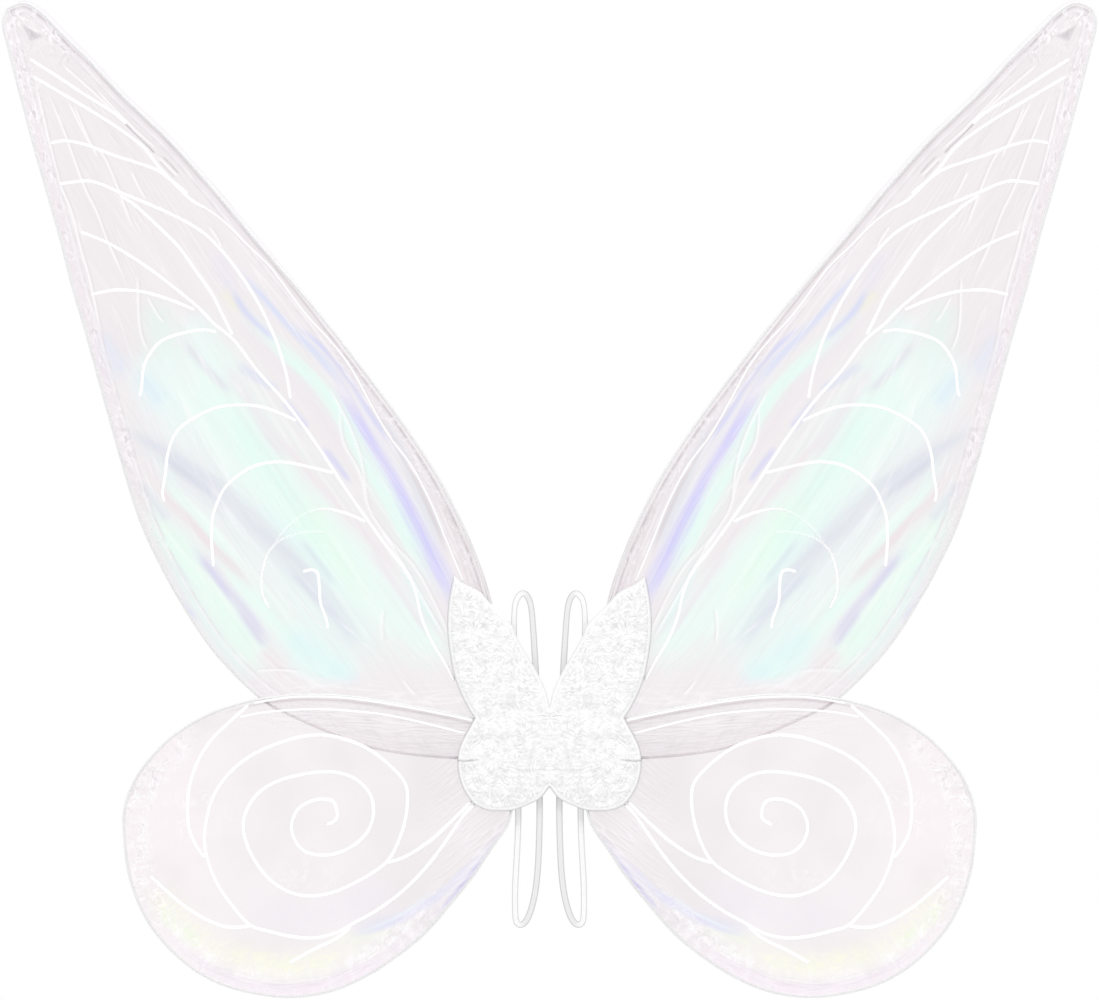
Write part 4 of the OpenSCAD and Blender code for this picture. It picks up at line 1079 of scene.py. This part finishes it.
for cad, lines, welds, verts, faces, y0, w in (
        ("upper", upper_veins, upper_welds, upper_v, upper_f, UPPER_Y, 2.4),
        ("lower", lower_veins, lower_welds, lower_v, lower_f, LOWER_Y, 2.7)):
    bvh = BVHTree.FromPolygons([tuple(x) for x in verts], [tuple(int(i) for i in f) for f in faces])
    faint = {10: (0.0, 0.55), 11: (0.55, 0.15)} if cad == "upper" else {}
    made = [vein_mesh(line, w * MM, 0.38 * MM, bvh, y0, 200 + i, faint.get(i, (0.0, 0.0))) for i, line in enumerate(lines)]
    made += [vein_mesh(line, (1.2 if cad == "upper" else 1.7) * MM, 0.25 * MM, bvh, y0, 300 + i) for i, line in enumerate(welds)]
    v, f = join([m[:2] for m in made])
    worn = np.concatenate([m[2] for m in made])
    for o, side in zip(both_sides(f"{cad}_vein_lines", v, f, worn=worn), ("left", "right")):
        o.data.materials.append(vein_mat)
        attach(o, f"{side}_half"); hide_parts(f"{side}_{cad}_veins")


# ------------------------------------------------------------------ fabric cover
outline = np.concatenate([catmull(cover_low, 12)[:-1], catmull(cover_side, 12)[:-1], catmull(cover_top, 12)])
outline_closed = np.concatenate([outline, outline[:1]])


def fill(boundary, spacing, keep_out=0.6):
    """A triangle mesh of an outline with an even spread of points inside, in the outline's own units."""
    b = resample(np.concatenate([boundary, boundary[:1]]), max(int(arclength(np.concatenate([boundary, boundary[:1]]))[-1] / spacing), 16) + 1)[:-1]
    lo, hi = b.min(0), b.max(0)
    rows = []
    dz = spacing * 0.866
    for r, z in enumerate(np.arange(lo[1], hi[1] + dz, dz)):
        x = np.arange(lo[0], hi[0] + spacing, spacing) + (spacing / 2 if r % 2 else 0)
        rows.append(np.stack([x, np.full(len(x), z)], 1))
    p = np.concatenate(rows)
    p = p + 0.12 * spacing * np.stack([hash01(np.arange(len(p)), np.arange(len(p)) * 0, 5) - 0.5, hash01(np.arange(len(p)), np.arange(len(p)) * 0, 6) - 0.5], 1)
    # inside test by crossing number
    inside = np.zeros(len(p), bool)
    q = np.roll(b, -1, 0)
    for (x0, z0), (x1, z1) in zip(b, q):
        cond = (z0 > p[:, 1]) != (z1 > p[:, 1])
        with np.errstate(divide="ignore", invalid="ignore"):
            xc = (x1 - x0) * (p[:, 1] - z0) / (z1 - z0) + x0
        inside ^= cond & (p[:, 0] < xc)
    p = p[inside]
    d, _ = line_distance(p, np.concatenate([b, b[:1]]))
    p = p[d > spacing * keep_out]
    allp = np.concatenate([b, p])
    n = len(b)
    v, e, f, ov, oe, of = delaunay_2d_cdt([Vector(x) for x in allp], [(i, (i + 1) % n) for i in range(n)], [tuple(range(n))], 1, 1e-7)
    v = np.array([(x.x, x.y) for x in v])
    f = [tuple(t) for t in f]
    # all faces the same way round
    out = []
    for t in f:
        a, b2, c = v[t[0]], v[t[1]], v[t[2]]
        cross = (b2[0] - a[0]) * (c[1] - a[1]) - (b2[1] - a[1]) * (c[0] - a[0])
        out.append(t if cross > 0 else tuple(reversed(t)))
    return v, out


def rim_height(pts):
    """How open the cover's edge is, 0 where front and rear fabric meet, 1 where the wings come out between them. pts in grid steps."""
    side, _ = line_distance(pts, np.array([(-40, -62), (-62, -63), (-75, -57), (-85, -44), (-90, -31), (-92, -18), (-91, -4),
                                           (-75, 29), (-96, 74), (-102, 114), (-102, 133), (-100, 151), (-94, 168), (-70, 156)], float))
    return 1 - step(2.0, 14.0, side)


def front_rim(pts, opened):
    """Outer height of the front fabric's edge: over the lower wing where that comes out, just over the film beside the upper one."""
    high = step(44, 32, pts[:, 1])
    return 5.3 + opened * (2.3 * high - 0.3 * (1 - high))


def rear_rim(pts, opened):
    """Outer height of the rear fabric's edge: behind the upper wing, and close behind the film below it."""
    up = step(-27, -18, pts[:, 1])
    return 4.7 - opened * (3.0 * up + 0.7 * (1 - up))


def strokes(x, z, width, length, angle, seed):
    """Short ridges that all run one way, -1 to 1."""
    c, q = math.cos(angle), math.sin(angle)
    u = x * c + z * q
    v = -x * q + z * c
    u = u + 0.6 * width * gnoise(v / length * 1.7, u / (3 * width), seed + 1)
    return gnoise(u / width, v / length, seed)


def crinkle(x, z, seed):
    """Crushed foil cloth: patches of short creases, each patch with its own direction. x and z in millimetres. Height about -1 to 1."""
    total = np.zeros_like(x)
    weight = np.zeros_like(x)
    for k, angle in enumerate(np.radians([15, 50, 85, 120, 155])):
        m = np.exp(4.0 * gnoise(x / 10 + 11 * k, z / 10 - 7 * k, seed + 90 + k))
        n = strokes(x, z, 1.35, 5.0, angle, seed + 10 * k) + 0.3 * strokes(x, z, 0.8, 3.0, angle + 0.3, seed + 10 * k + 5)
        total = total + m * n
        weight = weight + m
    h = total / weight
    coarse = 1 - 2 * np.abs(gnoise(x / 5.2 + 0.7 * gnoise(x / 4, z / 4, seed + 61), z / 5.2, seed + 60))
    h = 1.9 * h
    return np.sign(h) * np.abs(h) ** 0.8 + 0.35 * coarse


v2, tris = fill(outline, 0.62)
d_edge, at_edge = line_distance(v2, outline_closed)
real_edge = np.concatenate([catmull(cover_low, 12), catmull(cover_side, 12)[1:], catmull(cover_top, 12)[1:]])
d_edge, at_edge = line_distance(v2, real_edge)
top_d, _ = line_distance(v2, catmull(cover_top, 12))
outer_edge = 1 - np.exp(-(np.maximum(top_d - d_edge, 0) / 2.0) ** 2)
dm = d_edge * U / MM
xm, zm = v2[:, 0] * U / MM, v2[:, 1] * U / MM
open_rim = rim_height(v2)
h_c = crinkle(xm, zm, 400)


def puff(d, w):
    return np.sqrt(np.clip(1 - (1 - np.clip(d / w, 0, 1)) ** 2, 0, 1))


def swell():
    """Cloth simulation of half the padded cover. A bag a little flatter than the finished one is blown up by its wadding while
    its rim, its back and the sewn middle stay held. Gives the points in the front fabric and how far each one moved out."""
    p, t = fill(outline, 3.4, 0.5)
    x, z = p[:, 0] * U / MM, p[:, 1] * U / MM
    d = line_distance(p, real_edge)[0] * U / MM
    rim = rim_height(p)
    edge_y = front_rim(p, rim)
    top = 7.2 + 3.0 * step(2, 24, np.abs(x)) + 0.4 * puff(np.minimum(d, 24), 24)
    y_front = edge_y + (top - edge_y) * puff(d, 6.5)
    on_rim = np.zeros(len(p), bool)
    count = {}
    for f in t:
        for i in range(3):
            count[(f[i], f[(i + 1) % 3])] = True
    border = [(a, b) for (a, b) in count if (b, a) not in count]
    for a, b in border:
        on_rim[a] = on_rim[b] = True
    inner = np.flatnonzero(~on_rim)
    back_of = np.arange(len(p))
    back_of[inner] = len(p) + np.arange(len(inner))
    y_front = np.where(on_rim, edge_y, y_front)
    co = np.concatenate([np.stack([x, -y_front, z], 1), np.stack([x[inner], -np.full(len(inner), 3.2), z[inner]], 1)]) * MM
    faces = [tuple(f) for f in t] + [tuple(int(back_of[i]) for i in reversed(f)) for f in t]
    me = bpy.data.meshes.new("bag")
    me.from_pydata(co.tolist(), [], faces)
    me.update()
    bag = bpy.data.objects.new("bag", me)
    scene.collection.objects.link(bag)
    held = bag.vertex_groups.new(name="held")
    fixed = [int(i) for i in range(len(p)) if on_rim[i] or abs(x[i]) < 7.5 or d[i] < 2.6] + list(range(len(p), len(co)))
    held.add(fixed, 1.0, "REPLACE")
    mod = bag.modifiers.new("Cloth", "CLOTH")
    c = mod.settings
    c.quality = 8
    c.mass = 0.15
    c.tension_stiffness = c.compression_stiffness = 25
    c.shear_stiffness = 8
    c.bending_stiffness = 0.4
    c.vertex_group_mass = "held"
    c.use_pressure = True
    c.uniform_pressure_force = 4
    c.effector_weights.gravity = 0
    c.shrink_min = -0.02
    mod.collision_settings.use_collision = False
    mod.point_cache.frame_start, mod.point_cache.frame_end = 1, 20
    start = scene.frame_current
    for f in range(1, 21):
        scene.frame_set(f)
    got = bag.evaluated_get(bpy.context.evaluated_depsgraph_get())
    end = np.empty(len(got.data.vertices) * 3, np.float32)
    got.data.vertices.foreach_get("co", end)
    moved = (co[:len(p), 1] - end.reshape(-1, 3)[:len(p), 1]) / MM
    bag.modifiers.remove(mod)
    bpy.data.objects.remove(bag)
    bpy.data.meshes.remove(me)
    scene.frame_set(start)
    print("cover simulation: front moved", moved.min().round(2), "to", moved.max().round(2), "mm, mean", moved.mean().round(2))
    return np.stack([x, z], 1), y_front + np.clip(moved, -1.0, 3.0)


def spread(points, values, xs, zs, reach):
    """Smooth values given at scattered points onto other points."""
    out = np.empty(len(xs))
    for i in range(0, len(xs), 2000):
        q = np.stack([xs[i:i + 2000], zs[i:i + 2000]], 1)
        w = np.exp(-((q[:, None, :] - points[None]) ** 2).sum(2) / (2 * reach * reach)) + 1e-12
        out[i:i + 2000] = (w * values).sum(1) / w.sum(1)
    return out


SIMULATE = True
if SIMULATE:
    bag_pts, bag_y = swell()
    swollen = spread(bag_pts, bag_y, xm, zm, 2.2)


def cover_mesh(front):
    from_fold = np.abs(xm)
    rim = np.exp(-((dm - 1.5) / 1.3) ** 2)
    stitch = np.exp(-((dm - 3.1) / 0.6) ** 2)
    rough = 0.25 + 0.75 * step(1.5, 4.5, dm)
    if front:
        edge_y = front_rim(v2, open_rim)
        crown = 7.7 + 3.4 * step(2, 24, from_fold) + 0.8 * puff(np.minimum(dm, 24), 24)
        y = edge_y + (crown - edge_y) * puff(dm, 6.5)
        if SIMULATE:
            # the simulated swell, never far from the height the pad is cut for
            y = y + step(3, 9, dm) * step(5, 12, from_fold) * np.clip(swollen - y, -1.0, 1.6)
        y = y + 0.55 * gnoise(xm / 15, zm / 20, 31) * step(2, 12, dm)
        # puckers pulled in by the seam
        y = y + 0.3 * gnoise(at_edge * 110, dm / 9, 33) * np.exp(-((dm - 5) / 4.0) ** 2)
        y = y + 0.25 * rim - 0.35 * stitch
        y = y + 0.42 * h_c * rough
        # the fold over the upper wire's inner end: a groove, with painted shade in it
        line = np.array([(-93, -13), (-86, -14), (-76, -13), (-66, -12)], float)
        dl, al = line_distance(v2, line)
        groove = np.exp(-(dl / 1.1) ** 2) * step(0, 0.45, 1 - al)
        y = y - 0.9 * groove + 0.5 * np.exp(-(dl / 4.5) ** 2) * step(0, 0.5, 1 - al)
        # painted shade and highlights of the crinkles, painted shade in broad patches, paler along the rolled rim
        calm = 0.55 + 0.45 * step(-0.5, 0.3, gnoise(xm / 13, zm / 13, 36))
        patch = gnoise(xm / 6.5, zm / 7.5, 37) + 0.6 * gnoise(xm / 13, zm / 15, 38)
        shade = np.clip(0.72 + (0.32 * h_c * calm + 0.16 * patch) * rough, 0, 1)
        shade = shade + (1 - shade) * 0.7 * rim * step(0.3, 1.0, dm)
        # painted shade: a thin dark line along the outside and the bottom of the bound edge
        edge_shade = np.exp(-(dm / 0.7) ** 2) * outer_edge
        shade = shade * (1 - 0.9 * groove) * (1 - 0.95 * edge_shade)
        y = np.minimum(y, 12.9)
        return -y, shade
    edge_y = rear_rim(v2, open_rim)
    y = edge_y - (edge_y - 0.3) * puff(dm, 5.0)
    y = y + 2.6 * np.exp(-((from_fold - 5.6) / 2.6) ** 2) * step(0, 6, dm)
    y = y - 0.16 * h_c * rough - 0.12 * gnoise(xm / 15, zm / 18, 71) - 0.1 * rim + 0.2 * stitch
    y = np.maximum(y, 0.02)
    # painted shade and highlights of the crinkles, darker overall than the front
    shade = np.clip(0.62 + 0.4 * h_c * rough, 0, 1)
    return -y, shade


def shell(pts_mm, tri, y_mm, thick, inward, shade):
    """A thin closed fabric sheet: the shown face, a face behind it and an edge strip between them."""
    n = len(pts_mm)
    front = np.stack([pts_mm[:, 0], y_mm, pts_mm[:, 1]], 1)
    back = front + np.array([0, inward * thick, 0])
    verts = np.concatenate([front, back]) * MM
    count = {}
    for t in tri:
        for i in range(3):
            e = (t[i], t[(i + 1) % 3])
            count[e] = True
    faces = [t for t in tri] + [tuple(i + n for i in reversed(t)) for t in tri]
    for (a, b) in count:
        if (b, a) not in count:
            faces.append((b, a, a + n, b + n))
    return verts, faces, np.concatenate([shade, shade])


for front in (True, False):
    y, shade = cover_mesh(front)
    # counter-clockwise in XZ faces -Y
    tri = tris if front else [tuple(reversed(t)) for t in tris]
    verts, faces, sh = shell(np.stack([xm, zm], 1), tri, y, 0.45, 1 if front else -1, shade)
    name = "front_cover_fabric" if front else "rear_cover_fabric"
    cad = "front_cover" if front else "rear_cover"
    for o, side in zip(both_sides(name, verts, faces, crease=sh), ("left", "right")):
        o.data.materials.append(foil_mat)
        co_ = np.empty(len(o.data.vertices) * 3, np.float32); o.data.vertices.foreach_get("co", co_)
        mid_v = np.abs(co_.reshape(-1, 3)[:, 0]) < 1e-6
        ed = np.empty(len(o.data.edges) * 2, np.int32); o.data.edges.foreach_get("vertices", ed)
        sharp = mid_v[ed.reshape(-1, 2)].all(1)
        attr = o.data.attributes.new("sharp_edge", "BOOLEAN", "EDGE")
        attr.data.foreach_set("value", sharp)
        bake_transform(o)
        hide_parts(f"{side}_{cad}", "centre_front_fabric" if front else "centre_rear_fabric")

# ------------------------------------------------------------------ shoulder loops
co = resample(np.concatenate([catmull(loop_outer, 16, True), catmull(loop_outer, 16, True)[:1]]), 361)[:-1]
ci = resample(np.concatenate([catmull(loop_inner, 16, True), catmull(loop_inner, 16, True)[:1]]), 1441)[:-1]
centre_line = []
for p in co:
    k = np.argmin(np.linalg.norm(ci - p, axis=1))
    centre_line.append((p + ci[k]) / 2)
mid = np.array(centre_line)
for _ in range(6):
    mid = 0.25 * np.roll(mid, 1, 0) + 0.5 * mid + 0.25 * np.roll(mid, -1, 0)
mid = resample(np.concatenate([mid, mid[:1]]), 401)[:-1]
tg = tangents(mid, True)
nr = np.stack([-tg[:, 1], tg[:, 0]], 1)
half = np.zeros(len(mid))
for i, (p, n_) in enumerate(zip(mid, nr)):
    half[i] = min(np.min(np.linalg.norm(co - p, axis=1)), 3.3)
half = np.clip(half, 1.6, 3.3)
for _ in range(10):
    half = 0.25 * np.roll(half, 1) + 0.5 * half + 0.25 * np.roll(half, -1)
cols = 17
q = np.linspace(-1, 1, cols)
ribs = 0.5 + 0.5 * np.cos(q * math.pi * 5)
bead = np.exp(-((np.abs(q) - 0.93) / 0.08) ** 2)
top_h = 0.34 + 0.10 * ribs + 0.10 * bead
top_h[0] = top_h[-1] = 0.12
verts, faces, rib = [], [], []
# the strand nearer the middle lies turned a little away from the light
across = (mid[:, 0] - np.interp(mid[:, 1], [-185, -120, 0, 110, 158], [-30.5, -22, -23, -26, -27]))
inner_tone = 1 - 0.34 * step(-3, 5, across)
m_ = len(mid)
for i in range(m_):
    for sgn in (-1, 1):
        for j in (range(cols) if sgn < 0 else range(cols - 1, -1, -1)):
            p = mid[i] + nr[i] * half[i] * q[j]
            verts.append((p[0] * U, 1.1 * MM + sgn * top_h[j] * MM, p[1] * U))
            # painted shade: darker between the ribs and along both edges of each strand
            tone = (0.55 + 0.4 * ribs[j]) * (1 - np.exp(-((abs(q[j]) - 0.80) / 0.10) ** 2))
            tone = tone if abs(q[j]) < 0.93 else 0.75
            rib.append(tone * inner_tone[i])
k_ = 2 * cols
for i in range(m_):
    i2 = (i + 1) % m_
    for j in range(k_):
        j2 = (j + 1) % k_
        faces.append((i * k_ + j, i * k_ + j2, i2 * k_ + j2, i2 * k_ + j))
for o, side in zip(both_sides("shoulder_loop", verts, faces, rib=np.array(rib)), ("left", "right")):
    o.data.materials.append(elastic_mat)
    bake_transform(o)
    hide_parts(f"{side}_strap")

# bar tacks: a zigzag of thread over the inner strand
parts = []
for tx, tz in ((-12.3, 38), (-11, 0), (-10.4, -32)):
    z = np.linspace(-1, 1, 15)
    pts = []
    for i in range(15):
        pts.append((tx * U + (1 if i % 2 else -1) * 2.0 * MM, 1.66 * MM, tz * U + z[i] * 0.9 * MM))
    pts = np.array(pts)
    fine = catmull(pts, 6)
    parts.append(tube(fine, 0.17 * MM, 6))
v, f = join(parts)
for o, side in zip(both_sides("loop_bar_tacks", v, f), ("left", "right")):
    o.data.materials.append(thread_mat)
    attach(o, f"{side}_half"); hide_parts(f"{side}_strap_tacks")

# ------------------------------------------------------------------ edge stitches on the front fabric
yf, _ = cover_mesh(True)
bvh = BVHTree.FromPolygons([(a, b, c) for a, b, c in zip(xm * MM, yf * MM, zm * MM)], tris)
line = real_edge
t = tangents(line)
nin = np.stack([-t[:, 1], t[:, 0]], 1)
cen = np.array([-50, 40.0])
inset = []
ins = resample(line, 900)
t = tangents(ins)
nn = np.stack([-t[:, 1], t[:, 0]], 1)
test = ins + nn * 1.0
dtest, _ = line_distance(test, outline_closed)
# the side of the line that lies inside the outline
def inside_outline(p):
    r = np.zeros(len(p), bool)
    b = outline
    for (x0, z0), (x1, z1) in zip(b, np.roll(b, -1, 0)):
        cond = (z0 > p[:, 1]) != (z1 > p[:, 1])
        with np.errstate(divide="ignore", invalid="ignore"):
            xc = (x1 - x0) * (p[:, 1] - z0) / (z1 - z0) + x0
        r ^= cond & (p[:, 0] < xc)
    return r
if inside_outline(ins + nn * 2).mean() < 0.5:
    nn = -nn
run = ins + nn * 4.0
ok = inside_outline(run)
dr, _ = line_distance(run, line)
ok &= dr > 3.4
parts = []
pos, step_len = 0.0, 4.1 / (U / MM)
a = arclength(ins)
while pos + step_len < a[-1]:
    seg = []
    good = True
    for w in np.linspace(pos + 0.12 * step_len, pos + 0.82 * step_len, 7):
        i = int(np.searchsorted(a, w))
        i = min(i, len(run) - 1)
        if not ok[i] or run[i, 0] > -12:
            good = False
            break
        hit = bvh.ray_cast(Vector((run[i, 0] * U, -1, run[i, 1] * U)), Vector((0, 1, 0)))
        if hit[0] is None:
            good = False
            break
        seg.append([run[i, 0] * U, hit[0].y, run[i, 1] * U])
    if good:
        seg = np.array(seg)
        lift = np.array([0.25, -0.02, -0.12, -0.15, -0.12, -0.02, 0.25]) * MM
        seg[:, 1] = np.linspace(seg[0, 1], seg[-1, 1], 7) * 0.5 + seg[:, 1] * 0.5 + lift
        parts.append(tube(catmull(seg, 2), 0.16 * MM, 6))
    pos += step_len
v, f = join(parts)
for o, side in zip(both_sides("edge_stitches", v, f), ("left", "right")):
    o.data.materials.append(thread_mat)
    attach(o, f"{side}_half"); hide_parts(f"{side}_edge_stitching")

# ------------------------------------------------------------------ pieces inside the cover
board_line = [
    (-18, -47), (-36, -54), (-49, -56), (-62, -55), (-71, -49), (-78, -38),
    (-82, -25), (-82, -8), (-77, 6), (-68, 20), (-67, 32), (-74, 48),
    (-82, 62), (-88, 78), (-92, 97), (-94, 115), (-93, 132), (-90, 148),
    (-83, 153), (-72, 145), (-62, 134), (-46, 112), (-38, 98), (-22, 70), (-18, 60)]
wv, wt = fill(catmull(board_line, 6, True), 3.2)
wd, _ = line_distance(wv, np.concatenate([catmull(board_line, 6, True), catmull(board_line, 1, True)[:1]]))
wx, wz = wv[:, 0] * U / MM, wv[:, 1] * U / MM
wp = puff(wd * U / MM, 5)
wy_front = -(7.9 + 1.5 * wp + 0.25 * gnoise(wx / 5, wz / 5, 501) * wp)
wy_back = -(7.8 - 0.0 * wp)
verts = np.concatenate([np.stack([wx, wy_front, wz], 1), np.stack([wx, np.full(len(wx), wy_back) if np.isscalar(wy_back) else wy_back, wz], 1)]) * MM
nw = len(wx)
edge_set = {(t[i], t[(i + 1) % 3]) for t in wt for i in range(3)}
faces = list(wt) + [tuple(i + nw for i in reversed(t)) for t in wt] + [(b, a, a + nw, b + nw) for (a, b) in edge_set if (b, a) not in edge_set]
for o, side in zip(both_sides("wadding_pad", verts, faces), ("left", "right")):
    o.data.materials.append(wadding_mat)
    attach(o, f"{side}_half"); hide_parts(f"{side}_wadding")

for name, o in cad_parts.items():
    if o.hide_render:
        continue
    mat = board_mat if "stiffener" in name else tape_mat
    o.data.materials.clear()
    o.data.materials.append(mat)
    for p in o.material_slots:
        p.link = "DATA"

# ------------------------------------------------------------------ floor, light and camera
bpy.ops.mesh.primitive_plane_add(size=3.2, location=(0, 0, cad_low.z - 0.12))
floor = bpy.context.object
floor.name = "floor"
fm, nt, out = material("pale_floor")
fp = node(nt, "ShaderNodeBsdfPrincipled", Roughness=0.8)
fp.inputs["Base Color"].default_value = (0.88, 0.88, 0.88, 1)
nt.links.new(fp.outputs["BSDF"], out.inputs["Surface"])
floor.data.materials.append(fm)

world = bpy.data.worlds.new("studio")
scene.world = world
world.use_nodes = True
nt = world.node_tree
for n in list(nt.nodes):
    nt.nodes.remove(n)
out = nt.nodes.new("ShaderNodeOutputWorld")
seen = node(nt, "ShaderNodeBackground", Strength=1.0); seen.inputs["Color"].default_value = (1, 1, 1, 1)
lit = nt.nodes.new("ShaderNodeBackground")
lit.inputs["Color"].default_value = (1, 1, 1, 1)
lit.inputs["Strength"].default_value = 0.88
path = nt.nodes.new("ShaderNodeLightPath")
mixw = nt.nodes.new("ShaderNodeMixShader")
nt.links.new(path.outputs["Is Camera Ray"], mixw.inputs["Fac"])
nt.links.new(lit.outputs["Background"], mixw.inputs[1])
nt.links.new(seen.outputs["Background"], mixw.inputs[2])
nt.links.new(mixw.outputs["Shader"], out.inputs["Surface"])


def area_light(name, where, target, size, power, colour=(1, 1, 1)):
    l = bpy.data.lights.new(name, "AREA")
    l.shape = "RECTANGLE"
    l.size, l.size_y = size
    l.energy = power
    l.color = colour
    o = bpy.data.objects.new(name, l)
    o.location = where
    o.rotation_euler = (Vector(target) - Vector(where)).to_track_quat("-Z", "Y").to_euler()
    scene.collection.objects.link(o)
    return o


mid_z = 0.19
area_light("top", (0, -1.5, 2.1), (0, 0, 0.05), (0.9, 0.7), 15)
area_light("fill_left", (-1.9, -2.0, 0.6), (0, 0, mid_z), (1.1, 1.1), 4)
area_light("fill_right", (1.9, -2.0, 0.6), (0, 0, mid_z), (1.1, 1.1), 4)
area_light("back", (0.3, 1.9, 1.3), (0, 0, mid_z), (1.2, 0.9), 10)

cam_data = bpy.data.cameras.new("camera")
cam_data.type = "PERSP"
cam_data.sensor_fit = "HORIZONTAL"
cam_data.sensor_width = 36
dist = 6.0
cam_data.lens = 36 * dist / (1099 * U)
cam_data.clip_end = 50
cam = bpy.data.objects.new("camera", cam_data)
cam.location = (0, UPPER_Y - dist, (747 - 500) * U)
cam.rotation_euler = (math.pi / 2, 0, 0)
scene.collection.objects.link(cam)
scene.camera = cam
scene.view_settings.view_transform = "Standard"
scene.view_settings.look = "None"
